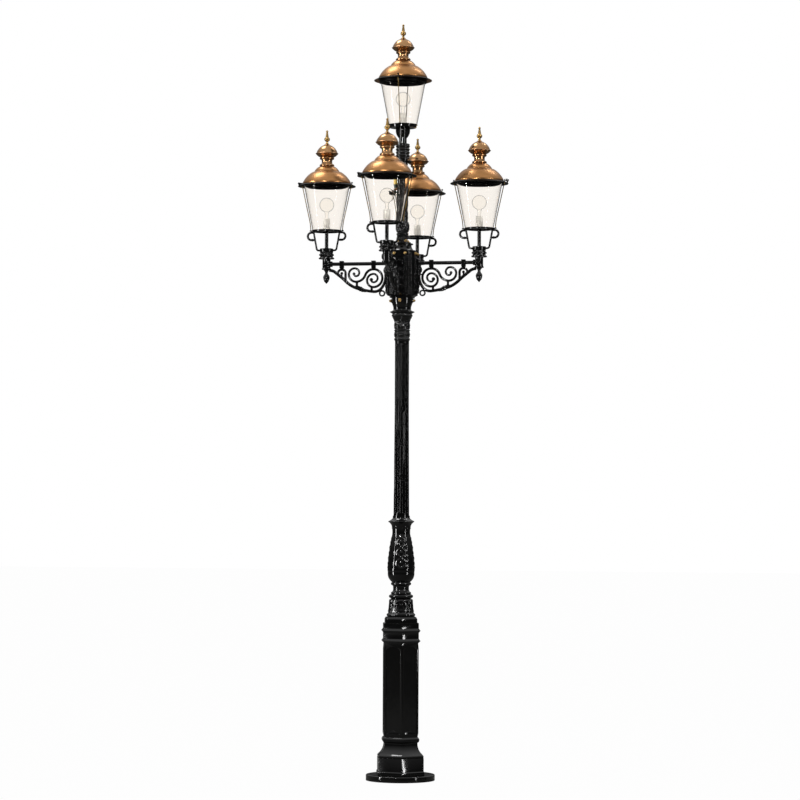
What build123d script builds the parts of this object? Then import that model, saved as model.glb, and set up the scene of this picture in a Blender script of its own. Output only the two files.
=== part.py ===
from build123d import *
from math import cos, radians, sin
import os

os.makedirs("parts", exist_ok=True)

# Five-light lamp post. Millimetres, +Z up, origin under the middle of the base plate.
# The arms lie along X and Y. The front is -Y.

# Fits
SLIP = 0.2              # around a tube, rod or screw in its hole
PIN_SLIP = 0.1          # around a hinge pin
RUN_GAP = 0.4           # between pieces that move past each other

# Base plate
PLATE_R = 228
PLATE_T = 38
PLATE_ROUND = 5
CABLE_BORE_R = 50
ANCHOR_PCD = 400
ANCHOR_COUNT = 4
ANCHOR_R = 11

# Pedestal, a hexagon: each A is the distance from the axis to a flat
FLAT_TURN = 15          # direction of the first flat
TOE_A = 154
TOE_H = 20
PLINTH_A = 149
PLINTH_H = 92
BEAD_A = 145
BEAD_H = 18
BEAD_BULGE = 3.5
COVE_H = 75
COVE_HOLLOW = 9
WAIST_A = 109
WAIST_H = 6
TORUS_H = 38
TORUS_BULGE = 12
BODY_A = 114.5
BODY_H = 618
BODY_SWELL_H = 24       # where the body widens above the torus
BODY_TOP_A = 111.5
BODY_TOP_H = 38
RIDGE_A = 126           # tip of each sharp ring
RIDGE_H = 14
BAND_A = 115
BAND_H = 40
STEP_H = 35
CAP_A = 105
CAP_H = 28
CAP_SLOPE_A = 97
CAP_SLOPE_H = 12
HOLLOW_A = 98
DECK_T = 60             # solid top of the pedestal

# Arched panels of the pedestal's faces
PANEL_W = 104
PANEL_DEPTH = 4
PANEL_LOW_MARGIN = 16   # from the body's foot to the panel's lower corners
PANEL_HIGH_MARGIN = 48  # from the panel's upper corners to the body's top
PANEL_ARCH = 26

# Screws that hold the pedestal to the plate, from below
BASE_SCREW_COUNT = 6
BASE_SCREW_R = 6
BASE_SCREW_HEAD_R = 10
BASE_SCREW_HEAD_H = 13
BASE_SCREW_GRIP = 30

# Service door, on a rear face
DOOR_FACE = 75          # direction that the door looks
DOOR_W = 98
DOOR_H = 390
DOOR_T = 5
DOOR_LAP = 8            # of the door over its opening
DOOR_PIN_R = 2.5
DOOR_EYE_R = 5
DOOR_EYE_H = 24         # length of each hinge knuckle
DOOR_HINGE_REACH = 300  # between the two hinges
DOOR_STRAP_T = 3
LOCK_R = 9
LOCK_HEAD_R = 12
LOCK_HEAD_H = 3
LOCK_INSET = 12         # from the opening's edge to the lock's axis
LOCK_CAM_T = 4
LOCK_CAM_W = 12
LOCK_CAM_REACH = 24
LOCK_KEY = 8            # width of the square key hole

# Terminal board
BOARD_W = 90
BOARD_H = 260
BOARD_T = 10
FUSE_COUNT = 5
FUSE_W = 14
FUSE_H = 80
FUSE_D = 34

# Steel tube that ties the castings together
CORE_R = 30
CORE_WALL = 4
CORE_FLANGE_R = 46
CORE_FLANGE_T = 8
CORE_IN_HUB = 235

# Baluster
BELL_R = 95
BELL_TOP_R = 66
BELL_H = 124
BELL_HOLLOW = 7
FLANGE_R = 77
FLANGE_H = 26
NECK_R = 53.5
NECK_H = 56
NECK_HOLLOW = 6
VASE_FOOT_R = 67
VASE_FOOT_H = 32
VASE_R = 89
VASE_SHOULDER_H = 62
VASE_BULGE = 7
VASE_TOP_R = 60
VASE_H = 250
VASE_SWELL = 3
FLARE_R = 72
FLARE_H = 68
FLARE_HOLLOW = 4
COLLAR_R = 86
COLLAR_H = 30
COLLET_R = 56
COLLET_H = 22

# Fluted shaft
SHAFT_FOOT_R = 52
SHAFT_R = 47
SHAFT_H = 1159
SHAFT_TAPER_H = 700
FLUTE_COUNT = 16
FLUTE_R = 7
FLUTE_DEPTH = 4
FLUTE_END = 22          # plain length at each end of the shaft

# Capital
ASTRAGAL_R = 54
ASTRAGAL_H = 24
CAPITAL_NECK_R = 47
CAPITAL_NECK_H = 102
CAPITAL_SWELL = 4
BELL_LIP_R = 71
BELL_LIP_H = 42
LIP_H = 14
SPIKE_R = 85
SPIKE_H = 24
CAPITAL_TOP_R = 59
CAPITAL_TOP_H = 19

# Hub
HUB_FOOT_R = 69
HUB_FOOT_H = 62
HUB_A = 75
HUB_CORNER = 26
HUB_CORE_H = 315
HUB_BELL_R = 78
HUB_BELL_TOP_R = 60
HUB_BELL_H = 40
HUB_BELL_HOLLOW = 5
HUB_LIP_R = 71
HUB_LIP_H = 7
WIRE_R = 9              # cable ways

# Arms
ARM_REACH = 518
ARM_RISE = 294          # of the arm's axis over the hub's foot
ARM_R = 12
PLATE_HALF_W = 48       # bracket's wall plate
WALL_T = 16
WALL_H = 308
WALL_SLANT = 9
SPINE_W = 30
SPINE_A = 112
SPINE_H = 250
SPINE_SLANT = 16
REED_R = 7
REED_OFFSET = 36
SCROLL_W = 17
SCROLL_T = 15
RIM_W = 21              # width of the lower rim
PAD_W = 22
CLIP_W = 26
CLIP_T = 32
CLIP_UP = 20
CLIP_DOWN = 28

# Scrolls of a bracket, drawn from the spine's face and the arm's axis, for arms of the drawn reach.
# Each pair of turns is the radius of an arc and how far it turns.
DRAWN_REACH = 518
CLIP_PLACES = (301, 84)
RIM_START = (375.2, -42)
RIM_HEADING = 188
RIM_BEND = (60, 30.5)
RIM_RUN = 55.6
RIM_TURNS = ((310, 7), (200, -30), (658, -9), (62, -60), (130, -42))
LARGE_TURNS = ((60, 180), (44, 180), (28, 180), (15, 100))
LARGE_EYE_R = 12
MIDDLE_TURNS = ((60, -70), (66, 70), (50, 90), (40, 90), (31, 90), (22, 90), (14, 100))
MIDDLE_EYE_R = 10
SMALL_TURNS = ((26, -200),)
SMALL_EYE_R = 9
SMALL_STALK = 44
SMALL_STEM_W = 9
SMALL_STEM_H = 25
RING_AT = (25, -199)
RING_R = 22
RING_HOLE_R = 11
LEAF_AT = (172, -168)
LEAF_L = 96
LEAF_W = 26
LEAF_TURN = 26
LARGE_LINK_AT = (96, -174)
MIDDLE_LINK_AT = (197, -140)
LINK_W = 14
LINK_H = 34

# Brass cap nuts
NUT_AF = 19
NUT_H = 9
NUT_DOME_R = 8
WALL_NUT_OFFSET = 37
WALL_NUT_DROP = 22
FOOT_NUT_RISE = 44
FOOT_BOSS_R = 14
FOOT_BOSS_A = 73
STEM_NUT_R = 44

# Heads at the arms' ends and the drops under them
HEAD_R = 27
HEAD_UP = 35
HEAD_DOWN = 28
HEAD_FLANGE_R = 31
HEAD_FLANGE_T = 8
HEAD_BOSS_R = 19
HEAD_BOSS_REACH = 40
HEAD_SIDE_R = 17
HEAD_SIDE_REACH = 31
HEAD_SCREW_R = 6
HEAD_SCREW_REACH = 34
SOCKET_DEPTH = 28
DROP_TOP_R = 26
DROP_TAPER_H = 24
DROP_NECK_R = 9.5
DROP_NECK_H = 24
BUD_R = 20
BUD_H = 47
DROP_TIP_R = 1.5

# Stem over the hub
STEM_FOOT_R = 56
STEM_FOOT_H = 10
STEM_NECK_R = 31
STEM_NECK_H = 46
STEM_RING_R = 40
STEM_RING_H = 16
BOSS_BULGE = 8
BOSS_H = 72
COLUMN_R = 35
COLUMN_TOP_R = 29
COLUMN_H = 376
STEM_HEAD_R = 34
STEM_HEAD_H = 34
STEM_RISE = 10          # slope under the stem's head
KNOB_R = 12
KNOB_SHANK_R = 5
KNOB_REACH = 46
KNOB_DEPTH = 14

# Dusk sensor beside the stem
SENSOR_RISE = 372       # of its bracket over the stem's foot
SENSOR_OUT = 46
SENSOR_CUP_R = 13
SENSOR_CUP_FOOT_R = 7
SENSOR_CUP_H = 26
SENSOR_DOME_H = 36
SENSOR_PEG_R = 4
SENSOR_PEG_DEPTH = 10   # of the peg in the stem

# Reeded collar and neck under the top lantern
REEDED_R = 41
REEDED_H = 84
REEDED_RIM_R = 45
REEDED_RIM_H = 10
REED_COUNT = 16
REED_OUT_R = 5
TOP_NECK_R = 25.5
TOP_NECK_H = 107
TOP_FLANGE_R = 91
TOP_FLANGE_T = 16
CONSOLE_COUNT = 4
CONSOLE_OUT = 46
CONSOLE_H = 70
CONSOLE_T = 10

# Cup and tube under each side lantern
CUP_FLANGE_R = 51.5
CUP_FLANGE_H = 9
CUP_R = 40
CUP_WAIST_H = 14
CUP_RING_R = 47
CUP_RING_H = 9
CUP_NECK_H = 14
CUP_RIM_R = 45
CUP_RIM_H = 24
CUP_REED_R = 4
LANTERN_TUBE_R = 12
LANTERN_GAP = 117       # from the cup up to the lantern

# Cage
CAGE_RING_R = 97
CAGE_RING_W = 15
CAGE_RING_T = 6
LEG_R = 6.5
LEG_KNEE_R = 66
LEG_BEND = 16
LEG_TOP_R = 89.5
LEG_DEPTH = 9           # of a leg's foot in the cup's rim
LOOP_R = 25
LOOP_BAR_R = 7.5
LOOP_OUT = 104          # where the loop starts to turn
LOOP_DROP = 8.5
LOOP_BALL_R = 9

# Lantern body, measured up from the underside of its floor
FLOOR_R = 97
FLOOR_T = 6
EAR_W = 16
EAR_MARGIN = 8
GLASS_FOOT_R = 95
GLASS_TOP_R = 153
GLASS_T = 3
SEAT_H = 315            # where the lid sits
BRIM_T = 6
BRIM_IN_R = 140
BRIM_FLAT_R = 166
BRIM_R = 193
BRIM_DROOP = 10
BRIM_LIP = 3
SKIRT_R = 159
SKIRT_T = 3
SKIRT_H = 8
TOP_SKIRT_H = 24        # on the top lantern
ROD_R = 3
ROD_FOOT_R = 107.5
ROD_BEND_R = 113.5
ROD_BEND_H = 57
ROD_TOP_R = 172
ROD_BALL_R = 6
ROD_BALL_UP = 8

# Lid
LID_R = 162
LID_WALL = 2
LID_EDGE_H = 8
LID_SHOULDER_R = 100
LID_DOME_H = 70
LID_DOME_BULGE = 7
LID_STEP_R = 85
LID_STEP_H = 5
LID_TOP_R = 49
LID_TOP_H = 36
LID_TOP_BULGE = 4.5
LID_VENT_R = 30
CROWN_BEAD_R = 44
CROWN_BEAD_H = 15
CROWN_BEAD_BULGE = 5
CROWN_NECK_R = 38
CROWN_NECK_H = 32
CROWN_NECK_HOLLOW = 3
CROWN_RING_R = 44
CROWN_RING_H = 15
CROWN_RING_BULGE = 4
BOWL_R = 74
BOWL_H = 22
BOWL_BULGE = 3
LIP_R = 77
LIP_EDGE_H = 3
ONION_R = 71
ONION_STEP_H = 3
ONION_H = 54
ONION_BULGE = 9
ONION_TOP_R = 22
CROWN_TIP_R = 13
CROWN_TIP_H = 8
CROWN_WALL = 3           # least wall of the hollow crown
FINIAL_FOOT_R = 12
FINIAL_WAIST_R = 8
FINIAL_WAIST_H = 16
FINIAL_BEAD_R = 18.5
FINIAL_BEAD_H = 28
FINIAL_SPIKE_FOOT_R = 11
FINIAL_SPIKE_R = 5
FINIAL_SPIKE_H = 40
FINIAL_BALL_R = 8

# Lid hinge, on the lantern's -X side
HINGE_OUT = 190
HINGE_UP = 8
HINGE_PIN_R = 3
HINGE_EYE_R = 6.5
KNUCKLE_HALF_W = 9.5
LUG_T = 6
LUG_FOOT = 1            # from the lid's lower edge up to its hinge lugs

# Lampholder and bulb
HOLDER_R = 22
HOLDER_FOOT_R = 30
HOLDER_FOOT_H = 6
HOLDER_H = 78
BULB_CAP_R = 13
BULB_CAP_H = 28
BULB_NECK_R = 17
BULB_NECK_H = 47
BULB_NECK_HOLLOW = 4
BULB_R = 48
BULB_WALL = 1.5


def stack(start, steps):
    """Draw mouldings upwards; each step gives its reach at the top, its rise and its bulge outwards."""
    point = start
    for reach, rise, bulge in steps:
        end = (reach, point[1] + rise)
        if bulge:
            SagittaArc(point, end, -bulge)
        else:
            Line(point, end)
        point = end
    return point


def rise_of(steps):
    """Height of a stack of mouldings."""
    return sum(rise for _, rise, _ in steps)


def turned(bore, base, foot, steps):
    """Half section of a turned piece with a straight bore, standing at height base on radius foot."""
    with BuildSketch(Plane.XZ) as section:
        with BuildLine():
            Line((bore, base), (foot, base))
            top = stack((foot, base), steps)
            Line(top, (bore, top[1]))
            Line((bore, top[1]), (bore, base))
        make_face()
    return section.sketch


def upright(angle, height=0):
    """Vertical plane through the axis, whose X points in the direction of angle."""
    turn = radians(angle)
    return Plane((0, 0, height), x_dir=(cos(turn), sin(turn), 0), z_dir=(sin(turn), -cos(turn), 0))


def facing(angle, distance, height=0):
    """Vertical plane across the direction of angle, looking outwards, X to the right seen from outside."""
    turn = radians(angle)
    origin = (distance * cos(turn), distance * sin(turn), height)
    return Plane(origin, x_dir=(-sin(turn), cos(turn), 0), z_dir=(cos(turn), sin(turn), 0))


def level(angle, height):
    """Horizontal plane on the axis, whose Y points in the direction of angle."""
    turn = radians(angle)
    return Plane((0, 0, height), x_dir=(sin(turn), -cos(turn), 0), z_dir=(0, 0, 1))


def along(angle, start, end):
    """Plane at a point of the upright plane in the direction of angle, looking along the line to another."""
    side = upright(angle)
    low = side.from_local_coords(start)
    high = side.from_local_coords(end)
    return Plane(low, z_dir=high - low)


def chain(start, tangent, turns):
    """Draw arcs end to end, each leaving in the last one's direction; each gives its radius and turn."""
    for radius, turn in turns:
        arc = JernArc(start=start, tangent=tangent, radius=radius, arc_size=turn)
        start = arc @ 1
        tangent = arc % 1
    return start


def heading(angle):
    """Unit vector in the direction of angle."""
    return (cos(radians(angle)), sin(radians(angle)))


def spot(drawn):
    """Point of the upright plane from a point of the scrolls as drawn, grown with the arm's reach."""
    return (SPINE_A + grow * drawn[0], grow * drawn[1])


def grown(turns):
    """Arcs as drawn, grown with the arm's reach."""
    return [(grow * radius, turn) for radius, turn in turns]


def write(builder, name):
    """Label a finished piece and write it as its own file."""
    builder.part.label = name
    export_step(builder.part, f"parts/{name}.step")


# Profiles of the post, from the ground up
PEDESTAL_STEPS = [
    (TOE_A, TOE_H, 0),
    (PLINTH_A, TOE_A - PLINTH_A, 0),
    (PLINTH_A, PLINTH_H - (TOE_A - PLINTH_A), 0),
    (BEAD_A, 0, 0),
    (BEAD_A, BEAD_H, BEAD_BULGE),
    (WAIST_A, COVE_H, -COVE_HOLLOW),
    (WAIST_A, WAIST_H, 0),
    (WAIST_A, TORUS_H, TORUS_BULGE),
    (BODY_A, BODY_SWELL_H, 0),
    (BODY_A, BODY_H - BODY_SWELL_H - BODY_TOP_H, 0),
    (BODY_TOP_A, BODY_TOP_H, 0),
    (RIDGE_A, RIDGE_H, 0),
    (BAND_A, RIDGE_H, 0),
    (BAND_A, BAND_H, 0),
    (RIDGE_A, RIDGE_H, 0),
    (BAND_A, RIDGE_H, 0),
    (BAND_A, STEP_H, 0),
    (CAP_A, 0, 0),
    (CAP_A, CAP_H, 0),
    (CAP_SLOPE_A, CAP_SLOPE_H, 0),
]
BALUSTER_STEPS = [
    (BELL_TOP_R, BELL_H, -BELL_HOLLOW),
    (FLANGE_R, 0, 0),
    (FLANGE_R, FLANGE_H, 0),
    (VASE_FOOT_R, 0, 0),
    (NECK_R, NECK_H, -NECK_HOLLOW),
    (VASE_FOOT_R, VASE_FOOT_H, 0),
    (VASE_R, VASE_SHOULDER_H, VASE_BULGE),
    (VASE_TOP_R, VASE_H, VASE_SWELL),
    (FLARE_R, FLARE_H, -FLARE_HOLLOW),
    (COLLAR_R, COLLAR_H / 2, 0),
    (COLLET_R, COLLAR_H / 2, 0),
    (COLLET_R, COLLET_H, 0),
]
SHAFT_STEPS = [
    (SHAFT_R, SHAFT_TAPER_H, 0),
    (SHAFT_R, SHAFT_H - SHAFT_TAPER_H, 0),
]
CAPITAL_STEPS = [
    (ASTRAGAL_R, ASTRAGAL_H / 2, 0),
    (CAPITAL_NECK_R, ASTRAGAL_H / 2, 0),
    (CAPITAL_NECK_R, CAPITAL_NECK_H, CAPITAL_SWELL),
    (BELL_LIP_R, BELL_LIP_H, -CAPITAL_SWELL),
    (BELL_LIP_R - LIP_H / 2, LIP_H, 0),
    (SPIKE_R, SPIKE_H / 2, 0),
    (CAPITAL_TOP_R, SPIKE_H / 2, 0),
    (CAPITAL_TOP_R, CAPITAL_TOP_H, 0),
]
STEM_STEPS = [
    (STEM_FOOT_R, STEM_FOOT_H, 0),
    (STEM_NECK_R, 0, 0),
    (STEM_NECK_R, STEM_NECK_H, 0),
    (STEM_RING_R, 0, 0),
    (STEM_RING_R, STEM_RING_H, 0),
    (STEM_NECK_R, 0, 0),
    (COLUMN_R, BOSS_H, BOSS_BULGE),
    (COLUMN_TOP_R, COLUMN_H, 0),
    (STEM_HEAD_R, STEM_RISE, 0),
    (STEM_HEAD_R, STEM_HEAD_H, 0),
]
TOP_NECK_STEPS = [
    (REEDED_RIM_R, REEDED_RIM_H, 0),
    (REEDED_R, 0, 0),
    (REEDED_R, REEDED_H, 0),
    (REEDED_RIM_R, 0, 0),
    (REEDED_RIM_R, REEDED_RIM_H, 0),
    (TOP_NECK_R, 0, 0),
    (TOP_NECK_R, TOP_NECK_H, 0),
    (TOP_FLANGE_R, 0, 0),
    (TOP_FLANGE_R, TOP_FLANGE_T, 0),
]

# Heights where the pieces stand on each other
pedestal_z = PLATE_T
baluster_z = pedestal_z + rise_of(PEDESTAL_STEPS)
shaft_z = baluster_z + rise_of(BALUSTER_STEPS)
capital_z = shaft_z + SHAFT_H
hub_z = capital_z + rise_of(CAPITAL_STEPS)
core_z = hub_z + HUB_FOOT_H
bell_z = core_z + HUB_CORE_H
stem_z = bell_z + HUB_BELL_H + HUB_LIP_H
neck_z = stem_z + rise_of(STEM_STEPS)
top_z = neck_z + rise_of(TOP_NECK_STEPS)
arm_z = hub_z + ARM_RISE
cup_z = arm_z + HEAD_UP
CUP_H = CUP_FLANGE_H + CUP_WAIST_H + CUP_RING_H + CUP_NECK_H + CUP_RIM_H
side_z = cup_z + CUP_H + LANTERN_GAP

# Where the arms and lanterns stand. The side lanterns' hinges look outwards or along the row.
ARMS = {"right": 0, "back": 90, "left": 180, "front": 270}
SIDE_LANTERNS = {
    "right": Location((ARM_REACH, 0, side_z), (0, 0, 180)),
    "back": Location((0, ARM_REACH, side_z)),
    "left": Location((-ARM_REACH, 0, side_z)),
    "front": Location((0, -ARM_REACH, side_z)),
}
LANTERNS = {**SIDE_LANTERNS, "top": Location((0, 0, top_z), (0, 0, -90))}
core_hole_r = CORE_R + SLIP


# Base plate
screw_ring_r = (HOLLOW_A + PLINTH_A) / 2
with BuildPart() as base_plate:
    Cylinder(PLATE_R, PLATE_T, align=(Align.CENTER, Align.CENTER, Align.MIN))
    fillet(base_plate.edges().group_by(Axis.Z)[-1], PLATE_ROUND)
    Cylinder(CABLE_BORE_R, PLATE_T, align=(Align.CENTER, Align.CENTER, Align.MIN), mode=Mode.SUBTRACT)
    with PolarLocations(ANCHOR_PCD / 2, ANCHOR_COUNT, start_angle=180 / ANCHOR_COUNT):
        Cylinder(ANCHOR_R, PLATE_T, align=(Align.CENTER, Align.CENTER, Align.MIN), mode=Mode.SUBTRACT)
    with PolarLocations(screw_ring_r, BASE_SCREW_COUNT, start_angle=FLAT_TURN):
        Cylinder(
            BASE_SCREW_R + SLIP, PLATE_T, align=(Align.CENTER, Align.CENTER, Align.MIN), mode=Mode.SUBTRACT
        )
        Cylinder(
            BASE_SCREW_HEAD_R + SLIP,
            BASE_SCREW_HEAD_H + SLIP,
            align=(Align.CENTER, Align.CENTER, Align.MIN),
            mode=Mode.SUBTRACT,
        )
write(base_plate, "base_plate")

with BuildPart() as base_screws:
    with BuildSketch(Plane.XY.offset(SLIP)):
        with PolarLocations(screw_ring_r, BASE_SCREW_COUNT, start_angle=FLAT_TURN):
            Circle(BASE_SCREW_HEAD_R)
    extrude(amount=BASE_SCREW_HEAD_H)
    with BuildSketch(Plane.XY.offset(SLIP)):
        with PolarLocations(screw_ring_r, BASE_SCREW_COUNT, start_angle=FLAT_TURN):
            Circle(BASE_SCREW_R)
    extrude(amount=PLATE_T + BASE_SCREW_GRIP - SLIP)
write(base_screws, "base_screws")

# Pedestal: three crossed walls of the same profile meet in a hexagon
body_z = pedestal_z + TOE_H + PLINTH_H + BEAD_H + COVE_H + WAIST_H + TORUS_H
door_z = body_z + BODY_H / 2
opening_w = DOOR_W - 2 * DOOR_LAP
opening_h = DOOR_H - 2 * DOOR_LAP
panel_low = body_z + PANEL_LOW_MARGIN
panel_high = body_z + BODY_H - PANEL_HIGH_MARGIN
hinge_levels = (door_z - DOOR_HINGE_REACH / 2, door_z + DOOR_HINGE_REACH / 2)
door_pin_u = PANEL_W / 2 + DOOR_EYE_R / 2
door_pin_n = BODY_A + DOOR_EYE_R + RUN_GAP
door_back_n = BODY_A - PANEL_DEPTH + RUN_GAP

with BuildPart() as pedestal:
    for turn in (0, 60, 120):
        with BuildSketch(upright(FLAT_TURN + turn)):
            with BuildLine():
                Line((0, pedestal_z), (TOE_A, pedestal_z))
                top = stack((TOE_A, pedestal_z), PEDESTAL_STEPS)
                Line(top, (0, top[1]))
                Line((0, top[1]), (0, pedestal_z))
            make_face()
            mirror(about=Plane.YZ)
        extrude(amount=2 * TOE_A, both=True, mode=Mode.INTERSECT if turn else Mode.ADD)
    with BuildSketch(Plane.XY.offset(pedestal_z)):
        RegularPolygon(HOLLOW_A, 6, major_radius=False, rotation=FLAT_TURN + 30)
    extrude(amount=baluster_z - DECK_T - pedestal_z, mode=Mode.SUBTRACT)
    with BuildSketch(Plane.XY.offset(pedestal_z)):
        Circle(core_hole_r)
    extrude(amount=baluster_z - pedestal_z, mode=Mode.SUBTRACT)
    for turn in range(0, 360, 60):
        with BuildSketch(facing(FLAT_TURN + turn, BODY_A)):
            with BuildLine():
                SagittaArc((-PANEL_W / 2, panel_low), (PANEL_W / 2, panel_low), PANEL_ARCH)
                Line((PANEL_W / 2, panel_low), (PANEL_W / 2, panel_high))
                SagittaArc((PANEL_W / 2, panel_high), (-PANEL_W / 2, panel_high), -PANEL_ARCH)
                Line((-PANEL_W / 2, panel_high), (-PANEL_W / 2, panel_low))
            make_face()
        extrude(amount=-PANEL_DEPTH, mode=Mode.SUBTRACT)
    with BuildSketch(facing(DOOR_FACE, BODY_A, door_z)):
        Rectangle(opening_w, opening_h)
    extrude(amount=HOLLOW_A - BODY_A, mode=Mode.SUBTRACT)
    with BuildSketch(Plane.XY.offset(pedestal_z)):
        with PolarLocations(screw_ring_r, BASE_SCREW_COUNT, start_angle=FLAT_TURN):
            Circle(BASE_SCREW_R + SLIP)
    extrude(amount=BASE_SCREW_GRIP + SLIP, mode=Mode.SUBTRACT)
    for mid in hinge_levels:
        for side in (-1, 1):
            low = mid + side * (DOOR_EYE_H + RUN_GAP) - DOOR_EYE_H / 2
            with BuildSketch(level(DOOR_FACE, low)):
                with Locations((door_pin_u, door_pin_n)):
                    Circle(DOOR_EYE_R)
                with Locations((door_pin_u + DOOR_EYE_R / 2, (BODY_A + door_pin_n) / 2)):
                    Rectangle(DOOR_EYE_R, door_pin_n - BODY_A + 2 * SLIP)
                with Locations((door_pin_u, door_pin_n)):
                    Circle(DOOR_PIN_R + PIN_SLIP, mode=Mode.SUBTRACT)
            extrude(amount=DOOR_EYE_H)
write(pedestal, "pedestal")

with BuildPart() as pedestal_door:
    with BuildSketch(facing(DOOR_FACE, door_back_n, door_z)):
        Rectangle(DOOR_W, DOOR_H)
        with Locations((opening_w / 2 - LOCK_INSET, 0)):
            Circle(LOCK_R + PIN_SLIP, mode=Mode.SUBTRACT)
    extrude(amount=DOOR_T)
    for mid in hinge_levels:
        with BuildSketch(level(DOOR_FACE, mid - DOOR_EYE_H / 2)):
            with Locations((door_pin_u, door_pin_n)):
                Circle(DOOR_EYE_R)
            with Locations((door_pin_u, door_back_n + DOOR_T)):
                Rectangle(DOOR_W / 4, DOOR_STRAP_T, align=(Align.MAX, Align.MIN))
            with Locations((door_pin_u, door_pin_n)):
                Circle(DOOR_PIN_R + PIN_SLIP, mode=Mode.SUBTRACT)
        extrude(amount=DOOR_EYE_H)
write(pedestal_door, "pedestal_door")

with BuildPart() as door_hinge_pins:
    for mid in hinge_levels:
        with BuildSketch(level(DOOR_FACE, mid - 3 * DOOR_EYE_H / 2 - RUN_GAP)):
            with Locations((door_pin_u, door_pin_n)):
                Circle(DOOR_PIN_R)
        extrude(amount=3 * DOOR_EYE_H + 2 * RUN_GAP)
write(door_hinge_pins, "door_hinge_pins")

# Lock at rest: its cam stands upright, clear of the opening's edge
lock_at = (opening_w / 2 - LOCK_INSET, 0)
door_front_n = door_back_n + DOOR_T
cam_n = HOLLOW_A - RUN_GAP - LOCK_CAM_T
with BuildPart() as door_lock:
    with BuildSketch(facing(DOOR_FACE, door_front_n + RUN_GAP, door_z)):
        with Locations(lock_at):
            Circle(LOCK_HEAD_R)
    extrude(amount=LOCK_HEAD_H)
    with BuildSketch(facing(DOOR_FACE, door_front_n + RUN_GAP, door_z)):
        with Locations(lock_at):
            Circle(LOCK_R)
    extrude(amount=-DOOR_T - 2 * RUN_GAP)
    with BuildSketch(facing(DOOR_FACE, cam_n, door_z)):
        with Locations(lock_at):
            Circle(LOCK_CAM_W / 2)
    extrude(amount=door_back_n - cam_n)
    with BuildSketch(facing(DOOR_FACE, cam_n, door_z)):
        with Locations(lock_at):
            Rectangle(LOCK_CAM_W, LOCK_CAM_REACH, align=(Align.CENTER, Align.MIN))
    extrude(amount=LOCK_CAM_T)
    with BuildSketch(facing(DOOR_FACE, door_front_n + RUN_GAP + LOCK_HEAD_H, door_z)):
        with Locations(lock_at):
            Rectangle(LOCK_KEY, LOCK_KEY)
    extrude(amount=-LOCK_HEAD_H - DOOR_T, mode=Mode.SUBTRACT)
write(door_lock, "door_lock")

with BuildPart() as terminal_board:
    with BuildSketch(facing(DOOR_FACE + 180, HOLLOW_A, door_z)):
        Rectangle(BOARD_W, BOARD_H)
    extrude(amount=-BOARD_T)
    with BuildSketch(facing(DOOR_FACE + 180, HOLLOW_A - BOARD_T, door_z)):
        with GridLocations(BOARD_W / FUSE_COUNT, 1, FUSE_COUNT, 1):
            Rectangle(FUSE_W, FUSE_H)
    extrude(amount=-FUSE_D)
write(terminal_board, "terminal_board")

# Core tube, with its flange under the pedestal's deck
deck_z = baluster_z - DECK_T
with BuildPart() as core_tube:
    with BuildSketch(Plane.XY.offset(deck_z)):
        Circle(CORE_FLANGE_R)
    extrude(amount=-CORE_FLANGE_T)
    with BuildSketch(Plane.XY.offset(deck_z)):
        Circle(CORE_R)
    extrude(amount=hub_z + CORE_IN_HUB - deck_z)
    with BuildSketch(Plane.XY.offset(deck_z - CORE_FLANGE_T)):
        Circle(CORE_R - CORE_WALL)
    extrude(amount=hub_z + CORE_IN_HUB - deck_z + CORE_FLANGE_T, mode=Mode.SUBTRACT)
write(core_tube, "core_tube")

with BuildPart() as baluster:
    revolve(turned(core_hole_r, baluster_z, BELL_R, BALUSTER_STEPS), axis=Axis.Z)
write(baluster, "baluster")

# One flute is a groove along the shaft's taper, and one along its straight length
flute_foot_z = shaft_z + FLUTE_END
flute_top_z = shaft_z + SHAFT_H - FLUTE_END
taper_top_z = shaft_z + SHAFT_TAPER_H
taper = (SHAFT_FOOT_R - SHAFT_R) / SHAFT_TAPER_H
groove_out = FLUTE_R - FLUTE_DEPTH
groove_foot = (SHAFT_FOOT_R - taper * FLUTE_END + groove_out, 0, flute_foot_z)
groove_bend = (SHAFT_R + groove_out, 0, taper_top_z)
groove_top = (SHAFT_R + groove_out, 0, flute_top_z)
with BuildPart() as flute:
    for low, high in ((groove_foot, groove_bend), (groove_bend, groove_top)):
        with BuildLine() as run:
            Line(low, high)
        with BuildSketch(Plane(run.line @ 0, z_dir=run.line % 0)):
            Circle(FLUTE_R)
        sweep(path=run.line)
    with Locations(groove_foot, groove_bend, groove_top):
        Sphere(FLUTE_R)
with BuildPart() as shaft:
    revolve(turned(core_hole_r, shaft_z, SHAFT_FOOT_R, SHAFT_STEPS), axis=Axis.Z)
    with PolarLocations(0, FLUTE_COUNT):
        add(flute.part, mode=Mode.SUBTRACT)
write(shaft, "shaft")

with BuildPart() as capital:
    revolve(turned(core_hole_r, capital_z, CAPITAL_NECK_R, CAPITAL_STEPS), axis=Axis.Z)
write(capital, "capital")

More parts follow.
